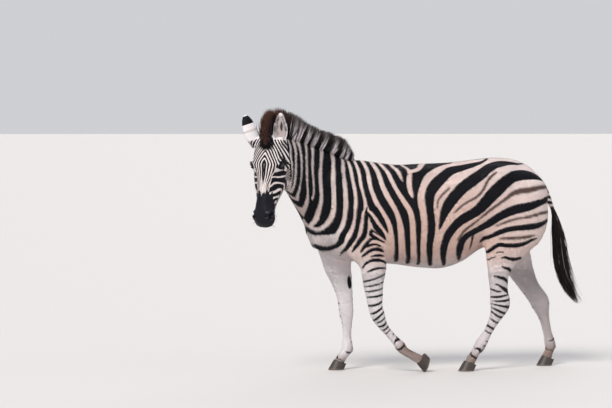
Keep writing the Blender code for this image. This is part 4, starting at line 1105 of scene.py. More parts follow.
def mark_dock(points, normals, marks):
    """Short bars across the dock, and a black line down the middle of its upper side."""
    x, y, z = points.T
    dock = (x > 0.755) & (z < 1.16) & (z > 0.86) & (np.abs(y) < 0.05)
    turn = (z - 0.02 * x) / 0.036
    bars = 0.036 * (0.27 - np.abs(turn - np.floor(turn) - 0.5))
    bars = np.maximum(bars, np.where(normals[:, 0] > 0.3, 0.007 - np.abs(y), -1.0))
    marks["band"] = np.where(dock, bars, marks["band"])


def mark_head(points, marks):
    """The face, over whatever the neck's marks say there."""
    face = head_share(points) > 0.5
    band, soot, grey, down = face_marks(points)
    seen = {"band": band, "soot": soot, "grey": grey, "tan": 0.12 * ramp(down, 0.16, 0.28)}
    for key, values in seen.items():
        marks[key] = np.where(face, values, marks[key])


def mark_ears(points, normals, marks):
    """White backs, a black patch below the tip, a dark line inside the pale rim, and painted shade in the
    cup.
    """
    t, u, v, cup = on_ears(points, normals).T
    ear = t > 0.22
    cup = cup > 0.0
    out_from_middle = np.hypot(u / 0.047, 0.5 * v / 0.030)
    floor = cup & ~((out_from_middle > 0.80) | (t > 0.90))
    backed = np.where(t > 0.70, np.minimum(t - 0.70, 0.965 - t) * EAR_LENGTH, -0.01)
    slit = 0.010 - np.abs(u - 0.003) - 0.05 * np.abs(t - 0.60)
    edge = 0.0034 - np.abs(out_from_middle - 0.78) * 0.03
    inner = np.maximum(slit, np.where(t > 0.45, edge, -1.0))
    # painted shade: the floor of each cup greyed and browned, the rim left pale
    seen = {"band": np.where(cup, inner, backed), "grey": np.where(floor, 0.5, 0.0),
            "stain_and_painted_shade": np.where(floor, 0.25, 0.9 * bump_at(t - 0.50, 0.030)),
            "white": np.where(cup, 0.6, 1.0), "tan": 0.0}
    for key, values in seen.items():
        marks[key] = np.where(ear, values, marks[key])
    marks["tan"] = marks["tan"] * (1.0 - 0.85 * marks["white"])


def marks_at(points, normals):
    """What the hairs are like at each place: black by how many metres inside a band, then 0 to 1 for brown
    shadow, tan with painted light and shade in it, dark muzzle skin, grey that is painted shade, brown stain
    that is dirt on the feet and painted shade in the ears, and white."""
    marks = body_marks(points, normals)
    for rows, outward, hind in LEGS:
        mark_leg(points, marks, rows, outward, hind)
    mark_dock(points, normals, marks)
    mark_head(points, marks)
    mark_ears(points, normals, marks)
    return {key: values if key == "band" else np.clip(values, 0, 1) for key, values in marks.items()}


def set_marks(mesh, marks):
    """The marks kept on the points of a mesh, for its material."""
    for name, values in marks.items():
        layer = mesh.attributes.new(name, "FLOAT", "POINT")
        layer.data.foreach_set("value", np.ascontiguousarray(values, dtype=np.float32))


# mark, how much of its tint it adds at full strength, and that tint
# the grey tints are painted shade; the stain tints are dirt on the feet and painted shade in the ears
PALE_TINTS = (("tan", 1.0, "#dab6a6"), ("white", 1.0, "#ebe8ec"), ("shadow", 0.96, "#382520"),
              ("grey", 1.0, "#8c7f7d"), ("stain_and_painted_shade", 0.8, "#7a5c4a"))
DARK_TINTS = (("grey", 1.0, "#574c50"), ("stain_and_painted_shade", 0.6, "#2b1c16"), ("soot", 0.8, "#14141e"))


def mark(tree, which):
    """The socket that gives one of the marks."""
    return node(tree, "Attribute", attribute_name=which).outputs["Fac"]


def blend(tree, share, first, second):
    """The socket of two colours mixed by a share."""
    return node(tree, "Mix", {0: share, 6: first, 7: second}, data_type="RGBA").outputs[2]


def maths(tree, kind, *values):
    """The socket of a sum or product of values."""
    return node(tree, "Math", dict(enumerate(values)), operation=kind).outputs[0]


def shaded(tree, colour, noise, low, high):
    """The socket of a colour made darker and lighter by a noise, from low to high."""
    limits = {"Value": noise, "From Min": 0.3, "From Max": 0.7, "To Min": low, "To Max": high}
    shade = node(tree, "MapRange", limits).outputs[0]
    return node(tree, "VectorMath", {0: colour, 1: shade}, operation="MULTIPLY").outputs[0]


def coat_material(name, streak, lift):
    """Short striped hair: colour from the marks, hair-fine streaks along the lie of the coat, ragged edges to
    the bands, and a satin gleam on the bare dark muzzle."""
    made, tree, shader = painted(name, Roughness=0.60, Specular_IOR_Level=0.16, Sheen_Weight=0.03,
                                 Sheen_Roughness=0.45, IOR=1.55)
    shader.inputs["Sheen Tint"].default_value = tint("#aab4d8")
    place = node(tree, "TexCoord").outputs["Object"]
    stretched = node(tree, "Mapping", {"Vector": place, "Scale": (1.0, 1.0, 0.22)}).outputs[0]
    grain = {"Vector": stretched, "Scale": streak, "Detail": 3.0, "Roughness": 0.65}
    hairs = node(tree, "TexNoise", grain).outputs[0]
    clumps = node(tree, "TexNoise", {"Vector": place, "Scale": 26.0, "Detail": 2.0}).outputs[0]
    ragged = maths(tree, "ADD", mark(tree, "band"), maths(tree, "MULTIPLY_ADD", hairs, 0.0056, -0.0028))
    edge = node(tree, "MapRange", {"Value": ragged, "From Min": -0.0013, "From Max": 0.0013},
                interpolation_type="SMOOTHSTEP").outputs[0]
    pale = tint("#ece4e4")
    # black hair, with a faint blue cast that is painted sheen
    dark = tint("#04050d")
    for which, share, colour in PALE_TINTS:
        pale = blend(tree, maths(tree, "MULTIPLY", mark(tree, which), share), pale, tint(colour))
    for which, share, colour in DARK_TINTS:
        dark = blend(tree, maths(tree, "MULTIPLY", mark(tree, which), share), dark, tint(colour))
    pale = blend(tree, maths(tree, "MULTIPLY", clumps, 0.16), pale, tint("#b08d80"))
    colour = shaded(tree, blend(tree, edge, pale, dark), hairs, 0.84, 1.10)
    tree.links.new(colour, shader.inputs["Base Color"])
    rough = maths(tree, "MULTIPLY_ADD", mark(tree, "soot"), -0.22, 0.60)
    tree.links.new(rough, shader.inputs["Roughness"])
    bump = node(tree, "Bump", {"Height": hairs, "Strength": 0.55, "Distance": lift})
    tree.links.new(bump.outputs[0], shader.inputs["Normal"])
    return made


def skin_depth(points):
    """How far the skin lies under the tips of its coat at each place."""
    depth = COAT_DEPTH - 0.0020 * head_share(points) - 0.0010 * (1.0 - ramp(points[:, 2], 0.40, 0.60))
    depth = np.where(on_ears(points)[:, 0] > 0.2, 0.0006, depth)
    return np.where(np.linalg.norm(from_eye(from_head(points)), axis=1) < 0.034, 0.0, depth)


def settle_skin(skin):
    """The skin marked at its coat's tips, then drawn in by the depth of the coat and put in the frame."""
    mesh = skin.data
    points = places_of(mesh)
    normals = np.array([v.normal for v in mesh.vertices])
    set_marks(mesh, marks_at(points, normals))
    drawn = points - normals * skin_depth(points)[:, None] + np.array(ANIMAL_TO_FRAME)
    mesh.vertices.foreach_set("co", drawn.ravel())
    mesh.update()
    mesh.materials.clear()
    mesh.materials.append(coat_material("short_striped_hair_on_skin", 420.0, 0.0016))
    mesh.shade_smooth()
    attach(skin, "root")
    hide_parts("head", "neck", "trunk", "tail", "ear_left", "ear_right", "foreleg_left_upper",
                "foreleg_left_lower", "foreleg_right_upper", "foreleg_right_lower", "hindleg_left_upper",
                "hindleg_left_lower", "hindleg_right_upper", "hindleg_right_lower")
    return points, normals


skin_points, skin_normals = settle_skin(zebra_skin)

# ---------------------------------------------------------------------------------------------------------
# The coat. Short hairs stand out of the skin in small solid tufts and lie back along the body. They are
# shortest on face and feet, longest under belly and throat and behind the fetlocks. Each tuft has the marks
# of the place it grows from.
# ---------------------------------------------------------------------------------------------------------

STANDING_HORN = 0.040  # below this height a foot is horn, where no tufts grow
LIFTED_HORN = 0.078  # the same for the lifted left forefoot
# number of tufts in each piece
COAT_PIECES = {
    "coat_head": 46000,
    "coat_neck": 43000,
    "coat_fore_left": 40000,
    "coat_fore_right": 37000,
    "coat_hind_left": 42000,
    "coat_hind_right": 39000,
    "coat_legs_left": 39000,
    "coat_legs_right": 37000,
}
hair_chance = np.random.default_rng(11)


def coat_piece_of(points):
    """The name of the coat piece that each place belongs to."""
    x, y, z = points.T
    neck = (x * 0.826 - z * 0.564) < (-0.640 * 0.826 - 1.120 * 0.564)
    side = np.where(y < 0, "left", "right")
    body = np.char.add(np.where(x < 0.02, "coat_fore_", "coat_hind_"), side)
    found = np.where(neck, "coat_neck", body)
    found = np.where(z < 0.62, np.char.add("coat_legs_", side), found)
    return np.where(head_share(points) > 0.5, "coat_head", found)


def lie_of(points, normals):
    """Which way the hair lies at each place, along the skin."""
    x, y, z = points.T
    way = np.tile((0.93, 0.0, -0.36), (len(points), 1))

    def turn_to(share, direction):
        nonlocal way
        way = way * (1.0 - share)[:, None] + np.asarray(direction) * share[:, None]

    turn_to(ramp(x, 0.30, 0.62), (0.40, 0.0, -0.92))
    turn_to(ramp(-x, 0.30, 0.52) * (1 - ramp(z, 0.85, 1.05)), (0.45, 0.0, -0.89))
    turn_to(ramp(-x, 0.46, 0.68) * ramp(z, 0.80, 0.98), (0.62, 0.22, -0.75))
    turn_to(ramp(-normals[:, 2], 0.55, 0.95) * ramp(x, -0.5, -0.3), (0.98, 0.0, 0.0))
    legs = 1.0 - ramp(z, 0.58, 0.78)
    slope = np.zeros(len(points))
    for rows, outward, hind in LEGS:
        lean = (leg_axis_x(rows, z - 0.02) - leg_axis_x(rows, z + 0.02)) / 0.04
        slope = np.where(own_to_leg(x, y, outward, hind), np.clip(lean, -1.4, 1.4), slope)
    turn_to(legs, np.stack((slope, np.zeros(len(points)), -np.ones(len(points))), axis=1))
    turn_to(((x > 0.755) & (z > 0.86)).astype(float), (0.35, 0.0, -0.94))
    turn_to(head_share(points), HEAD_FRAME[1])
    ears = on_ears(points)[:, 0] > 0.15
    turn_to(ears.astype(float), (-0.10, 0.03, 1.0))
    swirl = 0.22 * np.sin(x * 9.0 + z * 7.0) + 0.16 * np.sin(z * 19.0 - y * 11.0)
    way = unit(way - normals * (way * normals).sum(axis=1, keepdims=True))
    return unit(way + np.cross(normals, way) * swirl[:, None])


def tuft_sizes(points, normals):
    """Length and width of the tufts at each place."""
    x, _, z = points.T
    long = np.full(len(points), 0.0125)
    long = long - 0.0035 * (1.0 - ramp(z, 0.45, 0.68))
    long = long + 0.0045 * ramp(-normals[:, 2], 0.5, 0.95) * ramp(z, 0.55, 0.65)
    long = long + 0.0040 * ramp(-x, 0.60, 0.70) * (1.0 - ramp(z, 0.95, 1.10))
    _, down, out = from_head(points).T
    face = head_share(points)
    on_face = 0.0066 + 0.0030 * ramp(-out, 0.16, 0.24) - 0.0030 * ramp(down, 0.40, 0.48)
    long = long * (1 - face) + face * on_face
    ears = on_ears(points)[:, 0]
    long = np.where(ears > 0.15, 0.0060, long)
    fetlock = bump_at(z - 0.135, 0.035) * ramp(normals[:, 0], 0.2, 0.7) * (z < 0.2)
    long = long + 0.012 * fetlock
    return long, 0.0020 * (long / 0.0125) ** 0.6


def chart_place(points, piece):
    """Where each root lies on a flat unwrap of that piece of the skin, 0 to 1 both ways."""
    x, y, z = points.T
    if piece == "coat_head":
        side, down, out = from_head(points).T
        u = 0.5 + np.arctan2(side, -(out + 0.11)) / (2 * pi)
        v = (down + 0.07) / 0.66 * 0.80
        t, across, cup, _ = on_ears(points).T
        left = (points - POLL) @ HEAD_FRAME[0] > 0
        turned = 0.5 + np.arctan2(across, cup + 0.006) / (2 * pi)
        u = np.where(t > 0.2, np.where(left, 0.0, 0.5) + 0.48 * turned, u)
        v = np.where(t > 0.2, 0.82 + 0.16 * np.clip(t, 0, 1), v)
    elif piece == "coat_neck":
        middle = np.interp(x, *np.array(MIDDLE_PLANE).T)
        rise = z - (1.06 - 0.60 * (x + 0.64))
        u = 0.5 + np.arctan2(y - middle, rise) / (2 * pi)
        v = -((x + 0.55) * 0.826 - (z - 1.12) * 0.564) / 0.62
    elif piece.startswith("coat_legs"):
        hind = x > 0.15
        left = piece.endswith("left")
        fore_axis = leg_axis_x(FORELEG_LEFT if left else FORELEG_RIGHT, z)
        middle = np.where(hind, leg_axis_x(HINDLEG_LEFT if left else HINDLEG_RIGHT, z), fore_axis)
        turned = 0.5 + np.arctan2(np.abs(y) - 0.128, x - middle) / (2 * pi)
        u = 0.5 * hind + 0.49 * turned
        v = z / 0.63
    else:
        u = (x + 0.80) / 0.86 if "fore" in piece else x / 0.86
        v = np.arctan2(np.abs(y), z - 0.97) / pi
    return np.clip(np.stack((u, v), axis=1), 0.004, 0.996)


def mesh_of(name, places, corners, uv):
    """A mesh object of triangles; uv gives each vertex's place on the bake chart."""
    mesh = bpy.data.meshes.new(name)
    mesh.vertices.add(len(places))
    mesh.vertices.foreach_set("co", np.ascontiguousarray(places, dtype=np.float32).ravel())
    mesh.loops.add(corners.size)
    mesh.loops.foreach_set("vertex_index", corners.astype(np.int32).ravel())
    mesh.polygons.add(len(corners))
    mesh.polygons.foreach_set("loop_start", np.arange(0, corners.size, 3, dtype=np.int32))
    layer = mesh.uv_layers.new(name="OFBake")
    layer.data.foreach_set("uv", uv[corners.ravel()].astype(np.float32).ravel())
    mesh.update()
    mesh.shade_smooth()
    return new_object(name, mesh)


def tuft_piece(name, roots, normals, marks, paint):
    """Solid tufts: each a thin four-faced wedge, rooted in the skin and laid along it."""
    count = len(roots)
    way = lie_of(roots, normals)
    aside = np.cross(normals, way)
    way = unit(way + aside * hair_chance.normal(0.0, 0.13, count)[:, None])
    aside = np.cross(normals, way)
    long, wide = tuft_sizes(roots, normals)
    long = long * hair_chance.uniform(0.75, 1.20, count)
    rise = np.radians(np.clip(hair_chance.normal(15.0, 4.5, count), 6.0, 34.0))
    sunk = skin_depth(roots)
    foot = roots - normals * (sunk + 0.0006)[:, None]
    tip = foot + (way * np.cos(rise)[:, None] + normals * np.sin(rise)[:, None]) * long[:, None]
    half = (wide / 2)[:, None]
    ridge = foot + normals * half * 0.55 + way * half * 0.6
    places = np.stack((foot - aside * half, foot + aside * half, ridge, tip), axis=1)
    corners = np.array(((0, 2, 3), (2, 1, 3), (1, 0, 3), (0, 1, 2)))
    corners = (np.arange(count)[:, None, None] * 4 + corners).reshape(-1, 3)
    patch = np.array(((-0.0013, -0.0013), (0.0013, -0.0013), (0.0, -0.0005), (0.0, 0.0015)))
    uv = (chart_place(roots, name)[:, None] + patch).reshape(-1, 2)
    piece = mesh_of(name, places.reshape(-1, 3) + np.array(ANIMAL_TO_FRAME), corners, uv)
    set_marks(piece.data, {key: np.repeat(values, 4) for key, values in marks.items()})
    piece.data.materials.append(paint)
    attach(piece, "root")


def grow_coat(points, normals, triangles):
    """All the pieces of the coat, sown evenly over the skin."""
    paint = coat_material("short_striped_hair_in_tufts", 300.0, 0.0)
    corners = points[triangles]
    cross = np.cross(corners[:, 1] - corners[:, 0], corners[:, 2] - corners[:, 0])
    areas = np.linalg.norm(cross, axis=1)
    middles = corners.mean(axis=1)
    _, down, out = from_head(middles).T
    face = head_share(middles) > 0.5
    bare = face & (np.linalg.norm(from_eye(from_head(middles)), axis=1) < 0.0275)
    areas = areas * (1.0 - face * ramp(down, 0.440, 0.500) * ramp(out, -0.16, -0.14))
    lifted = (middles[:, 1] < 0) & (middles[:, 0] < 0.05) & (middles[:, 0] > -0.2)
    horn = middles[:, 2] < np.where(lifted, LIFTED_HORN, STANDING_HORN)
    areas = np.where(bare | horn, 0.0, areas)
    belongs = coat_piece_of(middles)
    for name, count in COAT_PIECES.items():
        own = np.flatnonzero(belongs == name)
        share = np.cumsum(areas[own])
        chosen = own[np.searchsorted(share, hair_chance.uniform(0, share[-1], count))]
        a, b = hair_chance.uniform(0, 1, (2, count))
        fold = a + b > 1
        a, b = np.where(fold, 1 - a, a), np.where(fold, 1 - b, b)
        mix = np.stack((1 - a - b, a, b), axis=1)[..., None]
        roots = (points[triangles[chosen]] * mix).sum(axis=1)
        up = unit((normals[triangles[chosen]] * mix).sum(axis=1))
        tuft_piece(name, roots, up, marks_at(roots, up), paint)


def triangles_of(mesh):
    """The corners of a mesh's triangles."""
    mesh.calc_loop_triangles()
    flat = np.empty(len(mesh.loop_triangles) * 3, dtype=np.int32)
    mesh.loop_triangles.foreach_get("vertices", flat)
    return flat.reshape(-1, 3)


grow_coat(skin_points, skin_normals, triangles_of(zebra_skin.data))

# ---------------------------------------------------------------------------------------------------------
# The mane. Stiff upright hair, 15 cm tall, in a band 4 cm wide over the poll and down the crest to the
# withers. Its solid tapered locks carry on the stripes of the neck, end in dark brown tips, and stand close
# enough to hide the crest.
# ---------------------------------------------------------------------------------------------------------

# x, y, z of its foot, then x, y, z of its edge
MANE = (
    (-1.080, -0.242, 1.402, -1.086, -0.250, 1.420),
    (-1.072, -0.232, 1.432, -1.102, -0.262, 1.505),
    (-1.056, -0.212, 1.462, -1.090, -0.244, 1.606),
    (-1.005, -0.190, 1.466, -1.025, -0.206, 1.644),
    (-0.930, -0.162, 1.452, -0.920, -0.162, 1.620),
    (-0.840, -0.122, 1.430, -0.812, -0.120, 1.560),
    (-0.740, -0.075, 1.396, -0.703, -0.073, 1.517),
    (-0.640, -0.030, 1.360, -0.606, -0.028, 1.483),
    (-0.550, -0.004, 1.330, -0.524, -0.002, 1.440),
    (-0.500, 0.000, 1.314, -0.488, 0.000, 1.385),
    (-0.472, 0.000, 1.306, -0.466, 0.000, 1.328),
)
hair_lie = np.random.default_rng(23)


def hair_material(name, roughness):
    """Long coarse hair: pale or black at the root, by the stripe it grows in, and dark brown at the tip."""
    made, tree, shader = painted(name, Roughness=roughness, Specular_IOR_Level=0.25, IOR=1.55,
                                 Anisotropic=0.35)

    limits = {"Value": mark(tree, "band"), "From Min": -0.002, "From Max": 0.003}
    dark = node(tree, "MapRange", limits).outputs[0]
    root = blend(tree, dark, tint("#d6cccf"), tint("#04040a"))
    brown = blend(tree, mark(tree, "red"), tint("#241715"), tint("#4b2b1f"))
    place = node(tree, "TexCoord").outputs["Object"]
    mottle = node(tree, "TexNoise", {"Vector": place, "Scale": 180.0, "Detail": 2.0}).outputs[0]
    colour = shaded(tree, blend(tree, mark(tree, "tip"), root, brown), mottle, 0.75, 1.2)
    tree.links.new(colour, shader.inputs["Base Color"])
    return made


def strands(name, paths, halves, marks, paint, chart):
    """Solid hairs: each a three-sided tube along its path (count, steps, 3), ending in a point; chart has
    where each root lies on a flat unwrap of the skin."""
    count, steps = paths.shape[:2]
    along = unit(np.gradient(paths, axis=1))
    hint = np.where(np.abs(along[..., 2:3]) < 0.8, (0.0, 0.0, 1.0), (0.0, 1.0, 0.0))
    first = unit(np.cross(along, hint))
    second = np.cross(along, first)
    turns = hair_lie.uniform(0, 2 * pi, count)[:, None, None] + np.arange(3) * 2 * pi / 3
    ring = first[:, :, None] * np.cos(turns)[..., None] + second[:, :, None] * np.sin(turns)[..., None]
    places = paths[:, :, None] + ring * halves[:, :, None, None]
    places[:, -1] = paths[:, -1, None]
    places = places[:, :-1].reshape(count, -1, 3)
    places = np.concatenate((places, paths[:, -1:]), axis=1)
    size = places.shape[1]
    corners = [(0, 2, 1)]
    for k in range(steps - 2):
        for j in range(3):
            a, b = 3 * k + j, 3 * k + (j + 1) % 3
            corners += [(a, b, b + 3), (a, b + 3, a + 3)]
    corners += [(size - 4 + j, size - 4 + (j + 1) % 3, size - 1) for j in range(3)]
    corners = (np.arange(count)[:, None, None] * size + np.array(corners)).reshape(-1, 3)
    rows = np.append(np.repeat(np.arange(steps - 1), 3), steps - 1) / (steps - 1) - 0.5
    patch = np.stack((np.append(np.tile((-0.5, 0.5, 0.0), steps - 1), 0.0), rows), axis=1) * 0.003
    uv = (np.clip(chart, 0.004, 0.996)[:, None] + patch).reshape(-1, 2)
    piece = mesh_of(name, places.reshape(-1, 3) + np.array(ANIMAL_TO_FRAME), corners, uv)
    shares = {}
    for key, values in marks.items():
        values = np.asarray(values, dtype=float)
        if values.ndim == 1:
            values = np.repeat(values[:, None], steps, axis=1)
        spread_out = np.concatenate((np.repeat(values[:, :-1], 3, axis=1), values[:, -1:]), axis=1)
        shares[key] = spread_out.ravel()
    set_marks(piece.data, shares)
    piece.data.materials.append(paint)
    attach(piece, "root")
    return piece


def mane_locks(name, count, edge_share, thick):
    """Upright locks along the crest; edge_share is how much of the mane's height they may reach."""
    table = smooth_rows(MANE, 0.002)
    heights = np.linalg.norm(table[:, 3:] - table[:, :3], axis=1)
    odds = np.cumsum(0.35 + heights / heights.max())
    at = np.searchsorted(odds, hair_lie.uniform(0, odds[-1], count))
    row = table[at]
    rise = row[:, 3:] - row[:, :3]
    along = unit(np.gradient(table[:, :3], axis=0))[at]
    aside = unit(np.cross(rise, along))
    across = np.clip(hair_lie.normal(0.0, 0.42, count), -1.0, 1.0)
    full = np.minimum(1.0, heights[at] / 0.06)
    foot = row[:, :3] + aside * (across * 0.021 * full)[:, None] - unit(rise) * 0.012
    tall = hair_lie.uniform(edge_share * 0.86, edge_share, count) * (1.0 - 0.10 * across**2)
    clump = 0.014 * np.sin(at * 0.11) + 0.016 * np.sin(at * 0.047 + 1.0) + 0.012 * np.sin(at * 0.31)
    tall = tall * (1.0 + clump)
    lean = (hair_lie.normal(0.10, 0.085, count) + clump) * heights[at]
    splay = (across * 0.016 + hair_lie.normal(0.0, 0.006, count)) * full
    t = np.linspace(0.0, 1.0, 5)[None, :, None]
    paths = foot[:, None] + rise[:, None] * tall[:, None, None] * t * 1.08
    paths = paths + along[:, None] * (lean[:, None, None] * t**1.6)
    paths = paths + aside[:, None] * (splay[:, None, None] * np.sin(t * pi * 0.75))
    spots = on_ears(paths.reshape(-1, 3))
    in_ear = (spots[:, 0] > 0.16) & (spots[:, 0] < 1.0)
    in_ear = in_ear & (np.abs(spots[:, 1]) < 0.050) & (spots[:, 2] > -0.036)
    clear = ~in_ear.reshape(count, -1).any(axis=1)
    half = thick * hair_lie.uniform(0.7, 1.25, count)
    halves = half[:, None] * np.array((1.0, 1.02, 0.88, 0.55, 0.0))
    seen = np.stack((row[:, 0] + 0.010, row[:, 2] - 0.02), axis=1)
    ground = np.minimum(inside_of(seen, BLACK_GROUND), -reach(seen, PALE_LINES))
    poll = 1.0 - ramp(row[:, 0], -1.02, -0.90)
    front = 1.0 - ramp(row[:, 0], -1.075, -1.035)
    band = ground - 0.0010 + 0.0024 * hair_lie.normal(0, 1, count)
    band = np.where(poll > 0.2, 0.02, band)
    tip_from = 0.70 - 0.06 * poll
    tips = ramp(t[..., 0] - tip_from[:, None], -0.14, 0.20)
    tips = tips * (1.0 - 0.8 * front[:, None] * (1 - t[..., 0]))
    red = np.clip(0.15 + 0.85 * poll + hair_lie.normal(0, 0.15, count), 0, 1)
    marks = {"band": band[clear], "tip": np.clip(tips, 0, 1)[clear], "red": red[clear]}
    chart = np.stack((at / len(table), 0.5 + 0.46 * across), axis=1)[clear]
    piece = strands(name, paths[clear], halves[clear], marks, mane_paint, chart)
    return piece


mane_paint = hair_material("stiff_mane_hair", 0.50)
mane = mane_locks("mane_locks", 6200, 1.0, 0.0022)
mane_locks("mane_underhair", 1900, 0.62, 0.0040)
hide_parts("mane")


def forelock():
    """Short black hair that falls forward from the poll over the top of the brow."""
    count = 420
    start = hair_lie.uniform(0, 1, count)
    side = hair_lie.normal(0.0, 0.013, count)
    root = np.array([on_head(s, 0.006 + 0.050 * k, -0.004) for s, k in zip(side, start)])
    t = np.linspace(0.0, 1.0, 6)[None, :, None]
    long = hair_lie.uniform(0.045, 0.075, count)[:, None, None] * (1.15 - 0.45 * start[:, None, None])
    out = HEAD_FRAME[2] * 0.75 + HEAD_FRAME[1] * 0.30
    paths = root[:, None] + out * long * t * (1 - 0.45 * t) + HEAD_FRAME[1] * long * 0.85 * t**2
    splay = side * 0.6 + hair_lie.normal(0, 0.004, count)
    paths = paths + HEAD_FRAME[0] * splay[:, None, None] * t
    halves = 0.0016 * np.tile((1.0, 1.0, 0.9, 0.7, 0.4, 0.0), (count, 1))
    black = {"band": np.full(count, 0.02), "tip": np.zeros(count), "red": np.zeros(count)}
    piece = strands("forelock", paths, halves, black, mane_paint, np.stack((0.5 + side * 8.0, start), axis=1))


forelock()

# ---------------------------------------------------------------------------------------------------------
# The tail. The dock is part of the skin; from its lower half hang long coarse black hairs, some of them
# brownish, 50 cm and more, in one tapering switch that sways a little back at its end.
# ---------------------------------------------------------------------------------------------------------

# x, z, half depth, half width of the switch
SWITCH = (
    (0.800, 1.050, 0.012, 0.013),
    (0.826, 0.985, 0.018, 0.019),
    (0.842, 0.925, 0.024, 0.026),
    (0.848, 0.880, 0.031, 0.034),
    (0.858, 0.790, 0.037, 0.041),
    (0.870, 0.680, 0.040, 0.044),
    (0.895, 0.570, 0.038, 0.041),
    (0.932, 0.480, 0.030, 0.031),
    (0.968, 0.422, 0.018, 0.018),
    (0.984, 0.400, 0.008, 0.008),
)


def tail_switch():
    """Strands from the dock: each keeps its own place in the switch and strays a little from it."""
    count, steps = 1900, 8
    rows = np.array([(x, 0.0, z, deep, wide) for x, z, deep, wide in SWITCH])
    table = smooth_rows(rows, 0.004)
    last = len(table) - 1
    start = hair_lie.beta(1.0, 1.5, count) * 0.30
    end = np.clip(hair_lie.beta(4.0, 1.5, count) * 1.06, 0.45, 1.0)
    turn = hair_lie.uniform(0, 2 * pi, count)
    deep = np.sqrt(hair_lie.uniform(0, 1, count))
    t = np.linspace(0.0, 1.0, steps)
    at = (start[:, None] + (end - start)[:, None] * t) * last
    row = table[np.round(at).astype(int)]
    inner = np.minimum(1.0, 0.55 + 1.8 * t)[None, :] * deep[:, None]
    sway = 0.5 * np.sin(t * 5.0 + turn[:, None] * 3) * t
    x = row[..., 0] + row[..., 3] * inner * (np.cos(turn)[:, None] + 0.35 * sway)
    y = row[..., 4] * inner * (np.sin(turn)[:, None] + 0.30 * sway)
    stray = hair_lie.random(count) < 0.30
    x = x + (stray * hair_lie.normal(0.010, 0.016, count))[:, None] * t**1.3
    y = y + (stray * hair_lie.normal(0.0, 0.014, count))[:, None] * t**1.3
    x = x + 0.004 * np.sin(t * 9.0 + turn[:, None] * 5) * t
    paths = np.stack((x, y, row[..., 2]), axis=2)
    half = hair_lie.uniform(0.0008, 0.0017, count)
    halves = half[:, None] * np.interp(t, (0, 0.1, 0.75, 1.0), (0.8, 1.0, 0.8, 0.1))
    pale = hair_lie.random(count) < 0.26
    tips = np.where(pale[:, None], 0.75, 0.10) * (1.0 - 0.6 * t)[None, :] + 0.12
    red = np.where(hair_lie.random(count) < 0.4, 0.55, 0.1)
    band = np.where(hair_lie.random(count) < 0.05 * (start < 0.1), -0.01, 0.02)
    chart = np.stack((turn / (2 * pi), start / 0.30), axis=1)
    piece = strands("tail_switch", paths, halves, {"band": band, "tip": tips, "red": red},
                    hair_material("coarse_tail_hair", 0.42), chart)
    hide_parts("tail_tuft")


tail_switch()

# ---------------------------------------------------------------------------------------------------------
# Fine hairs of the head. Long pale hair fills the cup of each ear, black lashes stand along the upper lids,
# and single whiskers grow from the lips, the chin and below the eyes.
# ---------------------------------------------------------------------------------------------------------


EAR_HAIRS = 560  # in each ear


def ear_hair():
    """Hair that grows from the front edges and the floor of each cup, across its opening."""
    paths, bands, chart = [], [], []
    for side in EARS:
        foot, up, opens, across = ear_ways(side)
        for _ in range(EAR_HAIRS):
            t = hair_lie.uniform(0.18, 0.88)
            wide, deep, spread = ear_section(t)
            turn = hair_lie.choice((-1, 1)) * spread * hair_lie.beta(4.0, 1.2)
            fan = sin(turn) / sin(min(spread, pi / 2))
            start = foot + up * (t * EAR_LENGTH - EAR_SUNK)
            start = start + across * (wide - 0.005) * fan - opens * (deep - 0.005) * cos(turn)
            long = hair_lie.uniform(0.020, 0.042)
            toward = -across * np.sign(turn) * 0.55 + up * 0.75 + opens * hair_lie.uniform(0.0, 0.25)
            s = np.linspace(0, 1, 5)[:, None]
            paths.append(start + toward * long * s + across * np.sign(turn) * long * 0.25 * s**2)
            bands.append(hair_lie.choice((-0.01, -0.01, 0.01)) if t > 0.4 else -0.01)
            chart.append((0.25 + 0.5 * (side == "right") + 0.23 * turn / spread, t))
    count = len(paths)
    halves = 0.0009 * np.tile((1.0, 1.0, 0.8, 0.5, 0.0), (count, 1))
    marks = {"band": np.array(bands), "tip": np.zeros(count), "red": np.zeros(count)}
    piece = strands("ear_hair", np.array(paths), halves, marks, mane_paint, np.array(chart))


def lashes_and_whiskers():
    """Black lashes on the upper lids; single whiskers on lips, chin and under the eyes."""
    paths, chart = [], []
    s = np.linspace(0, 1, 5)[:, None]
    for sign in (1, -1):
        mirror = np.array((sign, 1, 1))
        for k in range(60):
            turn = pi * (0.14 + 0.72 * (k + hair_lie.uniform(0, 1)) / 60)
            edge = radians(30.0 / np.sqrt((np.cos(turn) * 0.6) ** 2 + np.sin(turn) ** 2))
            aside = LID_WAY * cos(turn) + LID_RISE * sin(turn)
            way = GAZE * cos(edge) + aside * sin(edge)
            start = EYE_PLACE + way * (EYE_RADIUS + 0.0034)
            lash = way * 0.55 + aside * 0.35 + GAZE * 0.5
            path = start + lash * hair_lie.uniform(0.007, 0.012) * s - LID_RISE * 0.004 * s**2
            paths.append(POLL + (path * mirror) @ HEAD_FRAME)
            chart.append((0.25 + 0.25 * sign * turn / pi, 0.25))
        for k in range(26):
            down = hair_lie.uniform(0.455, 0.545)
            out = hair_lie.uniform(-0.135, -0.070)
            root = head_surface(sign, down, out)
            way = np.array((0.8, 0.35, -0.15)) + hair_lie.normal(0, 0.2, 3)
            path = root + way * hair_lie.uniform(0.012, 0.034) * s + np.array((0.0, 0.006, -0.002)) * s**2
            paths.append(POLL + (path * mirror) @ HEAD_FRAME)
            chart.append((0.75 + sign * (0.545 - down) * 2.0, -out * 4.0))
    count = len(paths)
    halves = 0.00042 * np.tile((1.0, 0.9, 0.7, 0.5, 0.0), (count, 1))
    black = {"band": np.full(count, 0.02), "tip": np.zeros(count), "red": np.zeros(count)}
    piece = strands("lashes_and_whiskers", np.array(paths), halves, black, mane_paint, np.array(chart))


